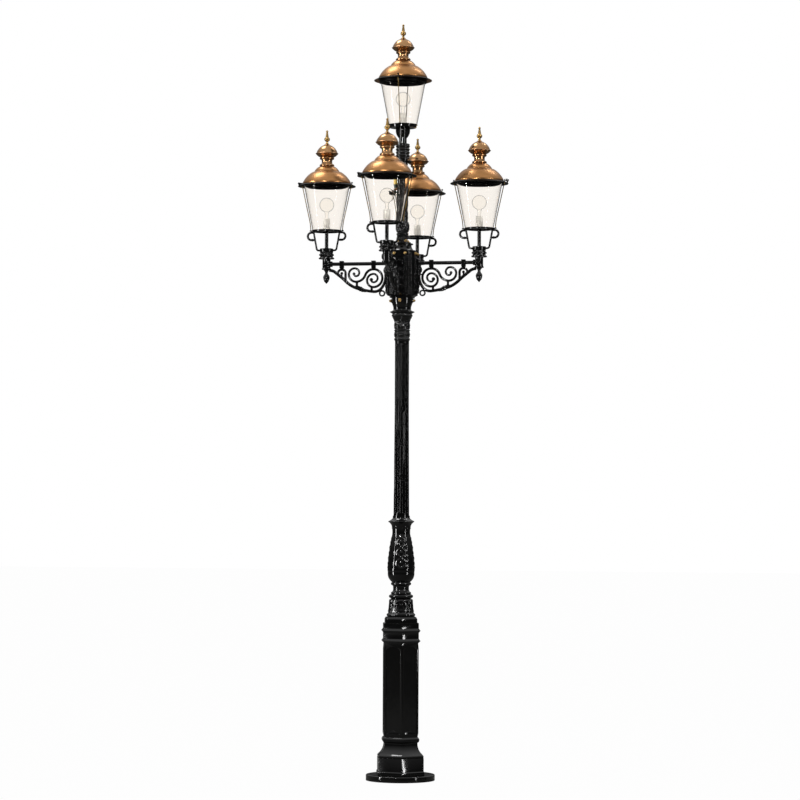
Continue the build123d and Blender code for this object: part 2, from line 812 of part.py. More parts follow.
# Hub: turned foot, squared core for the brackets, bell and lip
HUB_FOOT_STEPS = [
    (HUB_FOOT_R, HUB_FOOT_H / 2, 0),
    (HUB_FOOT_R, HUB_FOOT_H / 2, 0),
]
HUB_TOP_STEPS = [
    (HUB_BELL_TOP_R, HUB_BELL_H, -HUB_BELL_HOLLOW),
    (HUB_LIP_R, 0, 0),
    (HUB_LIP_R, HUB_LIP_H, 0),
]
with BuildPart() as hub:
    revolve(turned(WIRE_R, hub_z, CAPITAL_TOP_R, HUB_FOOT_STEPS), axis=Axis.Z)
    with BuildSketch(Plane.XY.offset(core_z)):
        square = Rectangle(2 * HUB_A, 2 * HUB_A)
        chamfer(square.vertices(), HUB_CORNER)
        Circle(WIRE_R, mode=Mode.SUBTRACT)
    extrude(amount=HUB_CORE_H)
    revolve(turned(WIRE_R, bell_z, HUB_BELL_R, HUB_TOP_STEPS), axis=Axis.Z)
    for turn in ARMS.values():
        with BuildSketch(facing(turn, 0, hub_z + FOOT_NUT_RISE)):
            Circle(FOOT_BOSS_R)
        extrude(amount=FOOT_BOSS_A)
    with BuildSketch(Plane.XY.offset(hub_z)):
        Circle(core_hole_r)
    extrude(amount=CORE_IN_HUB + SLIP, mode=Mode.SUBTRACT)
    for turn in ARMS.values():
        with BuildSketch(facing(turn, 0, arm_z)):
            Circle(WIRE_R)
        extrude(amount=HUB_A, mode=Mode.SUBTRACT)
write(hub, "hub")

# Bracket of one arm, along +X: wall plate, spine, reeds, scrolls and the pads under the clips
wall_low = bell_z - WALL_H
wall_face = HUB_A + WALL_T
scroll_top = -(CLIP_DOWN + SCROLL_W / 2)
grow = (ARM_REACH - SPINE_A) / (DRAWN_REACH - SPINE_A)
clip_places = [SPINE_A + grow * place for place in CLIP_PLACES]
small_x, large_x = clip_places
small_r = grow * SMALL_TURNS[0][0]
arm_hole_r = ARM_R + SLIP
with BuildPart() as bracket:
    with BuildSketch(Plane.XZ):
        with BuildLine():
            Polyline(
                (HUB_A, wall_low),
                (wall_face, wall_low + WALL_SLANT),
                (wall_face, bell_z),
                (HUB_A, bell_z),
                close=True,
            )
        make_face()
    extrude(amount=PLATE_HALF_W, both=True)
    with BuildSketch(Plane.XZ):
        with BuildLine():
            Polyline(
                (HUB_A, wall_low),
                (SPINE_A, wall_low + WALL_SLANT + SPINE_SLANT),
                (SPINE_A, wall_low + SPINE_H),
                (wall_face, wall_low + SPINE_H + SPINE_SLANT),
                (HUB_A, wall_low + SPINE_H + SPINE_SLANT),
                close=True,
            )
        make_face()
    extrude(amount=SPINE_W / 2, both=True)
    with BuildSketch(Plane.XY.offset(wall_low + WALL_SLANT)):
        with Locations((wall_face, -REED_OFFSET), (wall_face, REED_OFFSET)):
            Circle(REED_R)
    extrude(amount=SPINE_H)
    with BuildSketch(upright(0, arm_z)):
        with BuildLine():
            bend_r, bend_turn = RIM_BEND
            rim_bend = JernArc(
                start=spot(RIM_START),
                tangent=heading(RIM_HEADING),
                radius=grow * bend_r,
                arc_size=bend_turn,
            )
            rim_run = PolarLine(rim_bend @ 1, grow * RIM_RUN, RIM_HEADING + bend_turn)
            chain(rim_run @ 1, rim_run % 1, grown(RIM_TURNS))
        trace(line_width=RIM_W)
        with BuildLine():
            large_eye = chain((large_x, scroll_top), (-1, 0), grown(LARGE_TURNS))
        trace(line_width=SCROLL_W)
        with BuildLine():
            middle_eye = chain((large_x, scroll_top), (1, 0), grown(MIDDLE_TURNS))
        trace(line_width=SCROLL_W)
        with BuildLine():
            stalk_top = (small_x - small_r, scroll_top - small_r)
            stalk = Line((stalk_top[0], stalk_top[1] - grow * SMALL_STALK), stalk_top)
            chain(stalk @ 1, stalk % 1, grown(SMALL_TURNS))
        trace(line_width=SCROLL_W)
        with Locations(large_eye):
            Circle(LARGE_EYE_R)
        with Locations(middle_eye):
            Circle(MIDDLE_EYE_R)
        with Locations((small_x, scroll_top - small_r)):
            Circle(SMALL_EYE_R)
            Rectangle(SMALL_STEM_W, grow * SMALL_STEM_H, align=(Align.CENTER, Align.MAX))
        with Locations(spot(RING_AT)):
            Circle(RING_R)
            Circle(RING_HOLE_R, mode=Mode.SUBTRACT)
        with Locations(spot(LEAF_AT)):
            Ellipse(grow * LEAF_L / 2, LEAF_W / 2, rotation=LEAF_TURN)
        with Locations(spot(LARGE_LINK_AT), spot(MIDDLE_LINK_AT)):
            Rectangle(LINK_W, grow * LINK_H)
        with Locations((small_x, -CLIP_DOWN), (large_x, -CLIP_DOWN)):
            Rectangle(PAD_W, SCROLL_W, align=(Align.CENTER, Align.MAX))
    extrude(amount=SCROLL_T / 2, both=True)
    with BuildSketch(facing(0, 0, arm_z)):
        Circle(arm_hole_r)
    extrude(amount=SPINE_A, mode=Mode.SUBTRACT)
for name, turn in ARMS.items():
    with BuildPart() as arm_bracket:
        with Locations(Location((0, 0, 0), (0, 0, turn))):
            add(bracket.part)
    write(arm_bracket, f"arm_bracket_{name}")

# Arm tubes run from the hub's faces into the sockets of the heads
tube_end = ARM_REACH - HEAD_BOSS_REACH + SOCKET_DEPTH
with BuildPart() as arm_tubes:
    for turn in ARMS.values():
        with BuildSketch(facing(turn, HUB_A, arm_z)):
            Circle(ARM_R)
            Circle(WIRE_R - SLIP, mode=Mode.SUBTRACT)
        extrude(amount=tube_end - HUB_A)
write(arm_tubes, "arm_tubes")

with BuildPart() as bar_clips:
    for turn in ARMS.values():
        for place in clip_places:
            with BuildSketch(facing(turn, place - CLIP_W / 2, arm_z)):
                with Locations((0, CLIP_UP)):
                    Rectangle(CLIP_T, CLIP_UP + CLIP_DOWN, align=(Align.CENTER, Align.MAX))
                Circle(arm_hole_r, mode=Mode.SUBTRACT)
            extrude(amount=CLIP_W)
write(bar_clips, "bar_clips")

# Head of one arm, along +X
with BuildPart() as head:
    with BuildSketch(Plane.XY.offset(arm_z - HEAD_DOWN)):
        with Locations((ARM_REACH, 0)):
            Circle(HEAD_R)
    extrude(amount=HEAD_DOWN + HEAD_UP)
    with BuildSketch(Plane.XY.offset(arm_z - HEAD_DOWN)):
        with Locations((ARM_REACH, 0)):
            Circle(HEAD_FLANGE_R)
    extrude(amount=-HEAD_FLANGE_T)
    with BuildSketch(facing(0, ARM_REACH - HEAD_BOSS_REACH, arm_z)):
        Circle(HEAD_BOSS_R)
    extrude(amount=HEAD_BOSS_REACH)
    for radius, reach in ((HEAD_SIDE_R, HEAD_SIDE_REACH), (HEAD_SCREW_R, HEAD_SCREW_REACH)):
        with BuildSketch(upright(0, arm_z)):
            with Locations((ARM_REACH, 0)):
                Circle(radius)
        extrude(amount=reach, both=True)
    with BuildSketch(facing(0, ARM_REACH - HEAD_BOSS_REACH, arm_z)):
        Circle(arm_hole_r)
    extrude(amount=SOCKET_DEPTH + SLIP, mode=Mode.SUBTRACT)
    with BuildSketch(facing(0, ARM_REACH - HEAD_BOSS_REACH, arm_z)):
        Circle(WIRE_R)
    extrude(amount=HEAD_BOSS_REACH, mode=Mode.SUBTRACT)
    with BuildSketch(Plane.XY.offset(arm_z)):
        with Locations((ARM_REACH, 0)):
            Circle(WIRE_R)
    extrude(amount=HEAD_UP, mode=Mode.SUBTRACT)
with BuildPart() as arm_heads:
    with PolarLocations(0, len(ARMS)):
        add(head.part)
write(arm_heads, "arm_heads")

# Drops under the heads, from the tip of the bud upwards
DROP_STEPS = [
    (BUD_R, BUD_H, BUD_R / 4),
    (DROP_NECK_R, DROP_NECK_H, 0),
    (DROP_TOP_R, DROP_TAPER_H, -DROP_NECK_R / 2),
]
drop_z = arm_z - HEAD_DOWN - HEAD_FLANGE_T - rise_of(DROP_STEPS)
with BuildPart() as drop:
    revolve(turned(0, drop_z, DROP_TIP_R, DROP_STEPS), axis=Axis.Z)
with BuildPart() as arm_pendants:
    with PolarLocations(ARM_REACH, len(ARMS)):
        add(drop.part)
write(arm_pendants, "arm_pendants")

# Brass cap nut, standing on its seat along +Z
with BuildPart() as cap_nut:
    with BuildSketch():
        RegularPolygon(NUT_AF / 2, 6, major_radius=False)
    extrude(amount=NUT_H)
    with Locations((0, 0, NUT_H)):
        Sphere(NUT_DOME_R)
    split(bisect_by=Plane.XY)
wall_nut_z = bell_z - WALL_NUT_DROP
nut_places = []
for turn in ARMS.values():
    nut_places.append(facing(turn, FOOT_BOSS_A, hub_z + FOOT_NUT_RISE).location)
    for side in (-WALL_NUT_OFFSET, WALL_NUT_OFFSET):
        nut_places.append(facing(turn, wall_face, wall_nut_z).location * Pos(side, 0, 0))
with BuildPart() as brass_cap_nuts:
    with Locations(*nut_places):
        add(cap_nut.part)
    with Locations((0, 0, stem_z + STEM_FOOT_H)):
        with PolarLocations(STEM_NUT_R, len(ARMS), start_angle=45):
            add(cap_nut.part)
write(brass_cap_nuts, "brass_cap_nuts")

knob_z = neck_z - STEM_HEAD_H / 2
sensor_z = stem_z + SENSOR_RISE
peg_z = sensor_z + SENSOR_CUP_H / 2
peg_start = COLUMN_TOP_R - SENSOR_PEG_DEPTH
with BuildPart() as stem:
    revolve(turned(WIRE_R, stem_z, STEM_FOOT_R, STEM_STEPS), axis=Axis.Z)
    with BuildSketch(facing(180, peg_start - SLIP, peg_z)):
        Circle(SENSOR_PEG_R + SLIP)
    extrude(amount=COLUMN_R, mode=Mode.SUBTRACT)
    for turn in ARMS.values():
        with BuildSketch(facing(turn, STEM_HEAD_R - KNOB_DEPTH - SLIP, knob_z)):
            Circle(KNOB_SHANK_R + SLIP)
        extrude(amount=KNOB_REACH, mode=Mode.SUBTRACT)
write(stem, "stem")

with BuildPart() as collar_knobs:
    for turn in ARMS.values():
        with BuildSketch(facing(turn, STEM_HEAD_R - KNOB_DEPTH, knob_z)):
            Circle(KNOB_SHANK_R)
        extrude(amount=KNOB_REACH - STEM_HEAD_R + KNOB_DEPTH)
        with Locations(facing(turn, KNOB_REACH, knob_z).location):
            Sphere(KNOB_R)
write(collar_knobs, "collar_knobs")

# Dusk sensor: a cup on a peg at the stem's left, with an amber dome in it
SENSOR_STEPS = [
    (SENSOR_CUP_R, SENSOR_CUP_H, 0),
    (SENSOR_CUP_R * 3 / 4, SENSOR_DOME_H * 2 / 3, 1),
    (SENSOR_PEG_R, SENSOR_DOME_H / 3, 2),
]
with BuildPart() as sensor_body:
    revolve(turned(0, sensor_z, SENSOR_CUP_FOOT_R, SENSOR_STEPS), axis=Axis.Z)
with BuildPart() as dusk_sensor:
    with Locations((-SENSOR_OUT, 0, 0)):
        add(sensor_body.part)
    with BuildSketch(facing(180, peg_start, peg_z)):
        Circle(SENSOR_PEG_R)
    extrude(amount=SENSOR_OUT - peg_start)
write(dusk_sensor, "dusk_sensor")

reed_z = neck_z + REEDED_RIM_H
flange_z = top_z - TOP_FLANGE_T
with BuildPart() as top_neck:
    revolve(turned(WIRE_R, neck_z, REEDED_RIM_R, TOP_NECK_STEPS), axis=Axis.Z)
    with BuildSketch(Plane.XY.offset(reed_z)):
        with PolarLocations(REEDED_R, REED_COUNT):
            Circle(REED_OUT_R)
    extrude(amount=REEDED_H)
    for turn in range(0, 360, 360 // CONSOLE_COUNT):
        with BuildSketch(upright(turn)):
            with BuildLine():
                Line((TOP_NECK_R - SLIP, flange_z - CONSOLE_H), (TOP_NECK_R - SLIP, flange_z))
                Line((TOP_NECK_R - SLIP, flange_z), (CONSOLE_OUT, flange_z))
                SagittaArc((CONSOLE_OUT, flange_z), (TOP_NECK_R - SLIP, flange_z - CONSOLE_H), CONSOLE_T)
            make_face()
        extrude(amount=CONSOLE_T / 2, both=True)
write(top_neck, "top_neck")

# Cup of a side lantern, with the tube that carries the lantern's floor
CUP_STEPS = [
    (CUP_FLANGE_R, CUP_FLANGE_H, 0),
    (CUP_R, 0, 0),
    (CUP_R, CUP_WAIST_H, 0),
    (CUP_RING_R, 0, 0),
    (CUP_RING_R, CUP_RING_H, 0),
    (CUP_R, 0, 0),
    (CUP_R, CUP_NECK_H, 0),
    (CUP_RIM_R, 0, 0),
    (CUP_RIM_R, CUP_RIM_H, 0),
    (LANTERN_TUBE_R, 0, 0),
    (LANTERN_TUBE_R, LANTERN_GAP, 0),
]
cup_low = -LANTERN_GAP - CUP_H
foot_level = -LANTERN_GAP - CUP_RIM_H / 2
foot_depth_r = CUP_RIM_R - LEG_DEPTH
with BuildPart() as cup:
    revolve(turned(WIRE_R, cup_low, CUP_FLANGE_R, CUP_STEPS), axis=Axis.Z)
    with BuildSketch(Plane.XY.offset(cup_low + CUP_FLANGE_H)):
        with PolarLocations(CUP_R, REED_COUNT):
            Circle(CUP_REED_R)
    extrude(amount=CUP_WAIST_H + CUP_RING_H + CUP_NECK_H)
    for turn in (0, 180):
        with BuildSketch(facing(turn, foot_depth_r - SLIP, foot_level)):
            Circle(LEG_R + SLIP)
        extrude(amount=CUP_RIM_R, mode=Mode.SUBTRACT)
with BuildPart() as lantern_cups:
    with Locations(*SIDE_LANTERNS.values()):
        add(cup.part)
write(lantern_cups, "lantern_cups")

# Cage of a side lantern: a ring, two legs that stand in the cup's rim, and a loop outside each leg
loop_z = -LOOP_DROP
leg_run = LEG_TOP_R - LEG_KNEE_R
loop_foot_z = loop_z - 2 * LOOP_R
leg_at_loop = LEG_KNEE_R + leg_run * (loop_foot_z - foot_level) / (-CAGE_RING_T - foot_level)
with BuildPart() as cage:
    with BuildSketch(Plane.XY.offset(-CAGE_RING_T)):
        Circle(CAGE_RING_R)
        Circle(CAGE_RING_R - CAGE_RING_W, mode=Mode.SUBTRACT)
    extrude(amount=CAGE_RING_T)
    for turn in (0, 180):
        with BuildLine(upright(turn)) as leg:
            FilletPolyline(
                (foot_depth_r, foot_level),
                (LEG_KNEE_R, foot_level),
                (LEG_TOP_R, -CAGE_RING_T / 2),
                radius=LEG_BEND,
            )
        with BuildSketch(Plane(leg.line @ 0, z_dir=leg.line % 0)):
            Circle(LEG_R)
        sweep(path=leg.line)
        with BuildLine(upright(turn)) as loop:
            Line((LEG_TOP_R, loop_z), (LOOP_OUT, loop_z))
            bow = JernArc((LOOP_OUT, loop_z), (1, 0), LOOP_R, -180)
            Line(bow @ 1, (leg_at_loop, loop_foot_z))
        with BuildSketch(Plane(loop.line @ 0, z_dir=loop.line % 0)):
            Circle(LOOP_BAR_R)
        sweep(path=loop.line)
        with Locations(upright(turn).location * Pos(leg_at_loop + 2 * LOOP_BALL_R, loop_foot_z, 0)):
            Sphere(LOOP_BALL_R, rotation=(0, 0, 90))
for name, place in SIDE_LANTERNS.items():
    with BuildPart() as lantern_cage:
        with Locations(place):
            add(cage.part)
    write(lantern_cage, f"lantern_cage_{name}")

# Lantern, measured up from the underside of its floor; its rods stand at both ends of X
SIDES = (0, 180)
rod_foot = (ROD_FOOT_R, 0)
rod_bend = (ROD_BEND_R, ROD_BEND_H)
rod_top = (ROD_TOP_R, SEAT_H + ROD_BALL_UP)
with BuildPart() as floor_plate:
    with BuildSketch():
        Circle(FLOOR_R)
        Rectangle(2 * (ROD_FOOT_R + EAR_MARGIN), EAR_W)
        Circle(WIRE_R, mode=Mode.SUBTRACT)
    extrude(amount=FLOOR_T)
    for turn in SIDES:
        with BuildSketch(along(turn, rod_foot, rod_bend)):
            Circle(ROD_R + SLIP)
        extrude(amount=2 * FLOOR_T, both=True, mode=Mode.SUBTRACT)
with BuildPart() as lantern_floors:
    with Locations(*LANTERNS.values()):
        add(floor_plate.part)
write(lantern_floors, "lantern_floors")

glass_top_z = SEAT_H - BRIM_T
with BuildPart() as glass:
    with BuildSketch(Plane.XZ):
        with BuildLine():
            Polyline(
                (GLASS_FOOT_R - GLASS_T, FLOOR_T),
                (GLASS_FOOT_R, FLOOR_T),
                (GLASS_TOP_R, glass_top_z),
                (GLASS_TOP_R - GLASS_T, glass_top_z),
                close=True,
            )
        make_face()
    revolve(axis=Axis.Z)

# Brim: a flat ring over the glass, drooping to its edge, with a skirt outside the glass
pin_z = SEAT_H + HINGE_UP
brim_fall = BRIM_DROOP / (BRIM_R - BRIM_FLAT_R)
brim_mid = SEAT_H - BRIM_T / 2
knuckle_in = HINGE_OUT - HINGE_EYE_R
with BuildPart() as brim:
    with BuildSketch(Plane.XZ):
        with BuildLine():
            Polyline(
                (BRIM_IN_R, glass_top_z),
                (SKIRT_R - SKIRT_T, glass_top_z),
                (SKIRT_R - SKIRT_T, glass_top_z - SKIRT_H),
                (SKIRT_R, glass_top_z - SKIRT_H),
                (SKIRT_R, glass_top_z),
                (BRIM_FLAT_R, glass_top_z),
                (BRIM_R, glass_top_z - BRIM_DROOP),
                (BRIM_R, glass_top_z - BRIM_DROOP + BRIM_LIP),
                (BRIM_FLAT_R, SEAT_H),
                (BRIM_IN_R, SEAT_H),
                close=True,
            )
        make_face()
    revolve(axis=Axis.Z)
    with BuildSketch(upright(180)):
        with BuildLine():
            Polyline(
                (knuckle_in, pin_z),
                (knuckle_in, brim_mid - brim_fall * (knuckle_in - BRIM_FLAT_R)),
                (HINGE_OUT, brim_mid - brim_fall * (HINGE_OUT - BRIM_FLAT_R)),
                (HINGE_OUT + HINGE_EYE_R, pin_z),
                close=True,
            )
        make_face()
        with Locations((HINGE_OUT, pin_z)):
            Circle(HINGE_EYE_R)
            Circle(HINGE_PIN_R + PIN_SLIP, mode=Mode.SUBTRACT)
    extrude(amount=KNUCKLE_HALF_W, both=True)
    for turn in SIDES:
        with BuildSketch(along(turn, rod_top, rod_bend)):
            Circle(ROD_R + SLIP)
        extrude(amount=SEAT_H - ROD_BEND_H, mode=Mode.SUBTRACT)

with BuildPart() as top_skirt:
    with BuildSketch(Plane.XY.offset(glass_top_z)):
        Circle(SKIRT_R)
        Circle(SKIRT_R - SKIRT_T, mode=Mode.SUBTRACT)
    extrude(amount=-TOP_SKIRT_H)

with BuildPart() as rod:
    for turn in SIDES:
        with BuildLine(upright(turn)) as path:
            Polyline(rod_foot, rod_bend, rod_top)
        with BuildSketch(along(turn, rod_foot, rod_bend)):
            Circle(ROD_R)
        sweep(path=path.line, transition=Transition.ROUND)
        with Locations(upright(turn).from_local_coords(rod_top)):
            Sphere(ROD_BALL_R)
with BuildPart() as glass_rods:
    with Locations(*LANTERNS.values()):
        add(rod.part)
write(glass_rods, "glass_rods")

# Lid: a thin spun dome with two hinge lugs beside the brim's knuckle
LID_STEPS = [
    (LID_R, LID_EDGE_H, 0),
    (LID_SHOULDER_R, LID_DOME_H, LID_DOME_BULGE),
    (LID_STEP_R, LID_STEP_H, 0),
    (LID_TOP_R, LID_TOP_H, LID_TOP_BULGE),
]
INNER_LID_STEPS = [(reach - LID_WALL, rise, bulge) for reach, rise, bulge in LID_STEPS]
INNER_LID_STEPS[0] = (LID_R - LID_WALL, LID_EDGE_H - LID_WALL, 0)
lid_z = SEAT_H + RUN_GAP
crown_z = lid_z + rise_of(LID_STEPS)
lug_in = LID_R - LID_WALL
lug_y = KNUCKLE_HALF_W + RUN_GAP
with BuildPart() as dome:
    with BuildSketch(Plane.XZ):
        with BuildLine():
            Line((LID_R - LID_WALL, lid_z), (LID_R, lid_z))
            outer_top = stack((LID_R, lid_z), LID_STEPS)
            inner_top = stack((LID_R - LID_WALL, lid_z), INNER_LID_STEPS)
            Polyline(outer_top, (LID_VENT_R, outer_top[1]), (LID_VENT_R, inner_top[1]), inner_top)
        make_face()
    revolve(axis=Axis.Z)
    for turn in (-1, 1):
        with BuildSketch(upright(180).offset(turn * (lug_y + LUG_T / 2))):
            with BuildLine():
                Polyline(
                    (lug_in, lid_z + LUG_FOOT),
                    (HINGE_OUT, pin_z - HINGE_EYE_R),
                    (HINGE_OUT, pin_z + HINGE_EYE_R),
                    (lug_in, lid_z + LID_EDGE_H),
                    close=True,
                )
            make_face()
            with Locations((HINGE_OUT, pin_z)):
                Circle(HINGE_EYE_R)
                Circle(HINGE_PIN_R + PIN_SLIP, mode=Mode.SUBTRACT)
        extrude(amount=LUG_T / 2, both=True)

with BuildPart() as hinge_pin:
    with BuildSketch(upright(180)):
        with Locations((HINGE_OUT, pin_z)):
            Circle(HINGE_PIN_R)
    extrude(amount=lug_y + LUG_T, both=True)
with BuildPart() as lid_hinge_pins:
    with Locations(*LANTERNS.values()):
        add(hinge_pin.part)
write(lid_hinge_pins, "lid_hinge_pins")

CROWN_STEPS = [
    (CROWN_BEAD_R, CROWN_BEAD_H, CROWN_BEAD_BULGE),
    (CROWN_NECK_R, 0, 0),
    (CROWN_NECK_R, CROWN_NECK_H, -CROWN_NECK_HOLLOW),
    (CROWN_RING_R, 0, 0),
    (CROWN_RING_R, CROWN_RING_H, CROWN_RING_BULGE),
    (BOWL_R, BOWL_H, BOWL_BULGE),
    (LIP_R, LIP_EDGE_H, 0),
    (ONION_R, ONION_STEP_H, 0),
    (ONION_TOP_R, ONION_H, ONION_BULGE),
    (CROWN_TIP_R, CROWN_TIP_H, 0),
]
throat_r = CROWN_NECK_R - CROWN_NECK_HOLLOW - CROWN_WALL
CROWN_HOLLOW_STEPS = [
    (throat_r, CROWN_BEAD_H + CROWN_NECK_H + CROWN_RING_H, 0),
    (ONION_R - CROWN_WALL, BOWL_H, 0),
    (ONION_R - CROWN_WALL, LIP_EDGE_H + ONION_STEP_H, 0),
    (ONION_TOP_R - CROWN_WALL, ONION_H - CROWN_WALL, ONION_BULGE),
]
finial_z = crown_z + rise_of(CROWN_STEPS)
with BuildPart() as crown:
    revolve(turned(0, crown_z, CROWN_BEAD_R, CROWN_STEPS), axis=Axis.Z)
    revolve(turned(0, crown_z, throat_r, CROWN_HOLLOW_STEPS), axis=Axis.Z, mode=Mode.SUBTRACT)

FINIAL_STEPS = [
    (FINIAL_WAIST_R, FINIAL_WAIST_H, -(FINIAL_FOOT_R - FINIAL_WAIST_R) / 2),
    (FINIAL_SPIKE_FOOT_R, FINIAL_BEAD_H, FINIAL_BEAD_R - (FINIAL_WAIST_R + FINIAL_SPIKE_FOOT_R) / 2),
    (FINIAL_SPIKE_R, FINIAL_SPIKE_H, 0),
]
ball_z = finial_z + rise_of(FINIAL_STEPS)
with BuildPart() as finial:
    revolve(turned(0, finial_z, FINIAL_FOOT_R, FINIAL_STEPS), axis=Axis.Z)
    with Locations((0, 0, ball_z)):
        Sphere(FINIAL_BALL_R)

for name, place in LANTERNS.items():
    for kind, shape in (
        ("lantern_glass", glass),
        ("lantern_brim", brim),
        ("lid_dome", dome),
        ("lid_crown", crown),
        ("lid_finial", finial),
    ):
        with BuildPart() as placed:
            with Locations(place):
                add(shape.part)
                if kind == "lantern_brim" and name == "top":
                    add(top_skirt.part)
        write(placed, f"{kind}_{name}")

# Lampholder on the floor, and the globe bulb in it
cap_z = FLOOR_T + HOLDER_H - BULB_CAP_H
with BuildPart() as holder:
    with BuildSketch(Plane.XY.offset(FLOOR_T)):
        Circle(HOLDER_FOOT_R)
    extrude(amount=HOLDER_FOOT_H)
    with BuildSketch(Plane.XY.offset(FLOOR_T)):
        Circle(HOLDER_R)
    extrude(amount=HOLDER_H)
    with BuildSketch(Plane.XY.offset(FLOOR_T)):
        Circle(WIRE_R)
    extrude(amount=HOLDER_H, mode=Mode.SUBTRACT)
    with BuildSketch(Plane.XY.offset(cap_z)):
        Circle(BULB_CAP_R + SLIP)
    extrude(amount=BULB_CAP_H, mode=Mode.SUBTRACT)
with BuildPart() as lampholders:
    with Locations(*LANTERNS.values()):
        add(holder.part)
write(lampholders, "lampholders")

BULB_STEPS = [
    (BULB_CAP_R, BULB_CAP_H, 0),
    (BULB_NECK_R, BULB_NECK_H, -BULB_NECK_HOLLOW),
]
globe_z = cap_z + rise_of(BULB_STEPS) + (BULB_R**2 - BULB_NECK_R**2) ** 0.5
with BuildPart() as bulb:
    revolve(turned(0, cap_z, BULB_CAP_R, BULB_STEPS), axis=Axis.Z)
    with Locations((0, 0, globe_z)):
        Sphere(BULB_R)
        Sphere(BULB_R - BULB_WALL, mode=Mode.SUBTRACT)
with BuildPart() as bulbs:
    with Locations(*LANTERNS.values()):
        add(bulb.part)
write(bulbs, "bulbs")
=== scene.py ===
"""Looks of a five-light lamp post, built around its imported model.

Sizes are in millimetres until a mesh is made.
"""

import logging
from dataclasses import dataclass
from enum import Enum
from typing import Callable, Iterable, Optional, Sequence

import bmesh
import bpy
import numpy as np
from mathutils import Matrix, Vector


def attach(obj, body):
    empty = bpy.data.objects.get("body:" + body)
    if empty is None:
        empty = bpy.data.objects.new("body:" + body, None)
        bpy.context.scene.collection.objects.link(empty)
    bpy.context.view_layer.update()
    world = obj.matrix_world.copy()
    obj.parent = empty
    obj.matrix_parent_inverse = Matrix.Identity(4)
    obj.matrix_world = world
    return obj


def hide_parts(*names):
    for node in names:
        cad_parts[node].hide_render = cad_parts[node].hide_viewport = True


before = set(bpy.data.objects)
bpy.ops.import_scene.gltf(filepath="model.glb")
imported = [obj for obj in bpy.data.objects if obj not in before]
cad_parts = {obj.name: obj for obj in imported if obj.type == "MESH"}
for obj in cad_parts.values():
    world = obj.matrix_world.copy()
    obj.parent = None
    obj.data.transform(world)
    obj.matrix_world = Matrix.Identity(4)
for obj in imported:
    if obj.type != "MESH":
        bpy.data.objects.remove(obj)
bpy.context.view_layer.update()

LOG = logging.getLogger("lamp_post")
Array = np.ndarray
Step = tuple[float, float, float]
Relief = Callable[[Array, Array], Array]
MeshJob = Callable[[bmesh.types.BMesh], None]

MM = 0.001                 # metres in a millimetre
ARC_POINTS = 14            # points along one arc of a moulding
WELD = 1e-6                # metres within which points of two sheets are one
NODE_WELD = 2e-5           # the same for points of a node of the model
SMOOTH_ANGLE = np.radians(38)
FLAT_ANGLE = np.radians(0.6)
BEVEL_ANGLE = np.radians(32)
BEVEL_FACES = 2            # faces across a rounded edge
FACING = 11.3              # degrees that the ornaments are turned by, to face the viewer
ARM_Z = 3424.0             # height of the arms' axis
ARM_REACH = 518.0          # from the post's axis to a side lantern's
POST = "post"


class Slot(str, Enum):
    """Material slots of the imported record."""

    IRON = "iron_black_paint"
    CASTING = "casting_black_paint"
    STEEL = "steel_tube"
    BRASS = "arm_brass"
    NUT = "nut_brass"
    COPPER = "copper"
    GLASS = "lantern_glass"
    BULB = "bulb_glass"
    HOLDER = "holder_white"
    SENSOR = "sensor_amber"


class Side(str, Enum):
    """Where a lantern hangs."""

    RIGHT = "right"
    BACK = "back"
    LEFT = "left"
    FRONT = "front"
    TOP = "top"


@dataclass(frozen=True)
class Place:
    """Where a repeated piece stands: its foot and its turn about the upright, in degrees."""

    x: float
    y: float
    z: float
    turn: float

    def put(self, points: Array) -> Array:
        """Turn points about the upright and move them to this place."""
        angle = np.radians(self.turn)
        spin = np.array([[np.cos(angle), -np.sin(angle), 0], [np.sin(angle), np.cos(angle), 0], [0, 0, 1]])
        return points @ spin.T + np.array([self.x, self.y, self.z])


@dataclass(frozen=True)
class Sheet:
    """A grid of points, rows by columns, whose columns close on themselves, and the finish it wears."""

    points: Array
    skin: int = 0

    def at(self, place: Place) -> "Sheet":
        """The same sheet turned and moved to a place."""
        return Sheet(place.put(self.points), self.skin)

    def moved(self, x: float, y: float, z: float) -> "Sheet":
        """The same sheet moved by three distances."""
        return Sheet(self.points + np.array([x, y, z], float), self.skin)


def put_all(sheets: Sequence[Sheet], places: Iterable[Place]) -> list[Sheet]:
    """Copies of the sheets at every place."""
    return [sheet.at(place) for place in places for sheet in sheets]


def turned(turn: float) -> Place:
    """The post's own axis, turned by an angle in degrees."""
    return Place(0, 0, 0, turn)


def linear(code: str) -> tuple[float, float, float, float]:
    """Turn an sRGB hex colour into linear light.

    Args:
        code: six hex digits with a leading hash.

    Returns:
        Red, green, blue and full opacity, for a shader socket.
    """
    channels = np.array([int(code[i:i + 2], 16) for i in (1, 3, 5)]) / 255
    light = np.where(channels <= 0.04045, channels / 12.92, ((channels + 0.055) / 1.055) ** 2.4)
    return (*(float(c) for c in light), 1.0)


def add_node(
    tree: bpy.types.NodeTree,
    kind: str,
    values: Optional[dict] = None,
    links: Optional[dict] = None,
    **settings: object,
) -> bpy.types.Node:
    """Add a node with its settings, socket values and incoming links.

    Args:
        tree: node tree of a material or of the world.
        kind: Blender's name of the node type.
        values: fixed value of each named or numbered input.
        links: output socket that feeds each named or numbered input.
        settings: properties of the node itself.

    Returns:
        The new node.
    """
    node = tree.nodes.new(kind)
    for name, setting in settings.items():
        setattr(node, name, setting)
    for socket, value in (values or {}).items():
        node.inputs[socket].default_value = value
    for socket, source in (links or {}).items():
        tree.links.new(source, node.inputs[socket])
    return node


def ease(x: Array, low: float, high: float) -> Array:
    """Smooth step: 0 below low, 1 above high, 3t² - 2t³ between."""
    t = np.clip((x - low) / (high - low), 0, 1)
    return t * t * (3 - 2 * t)


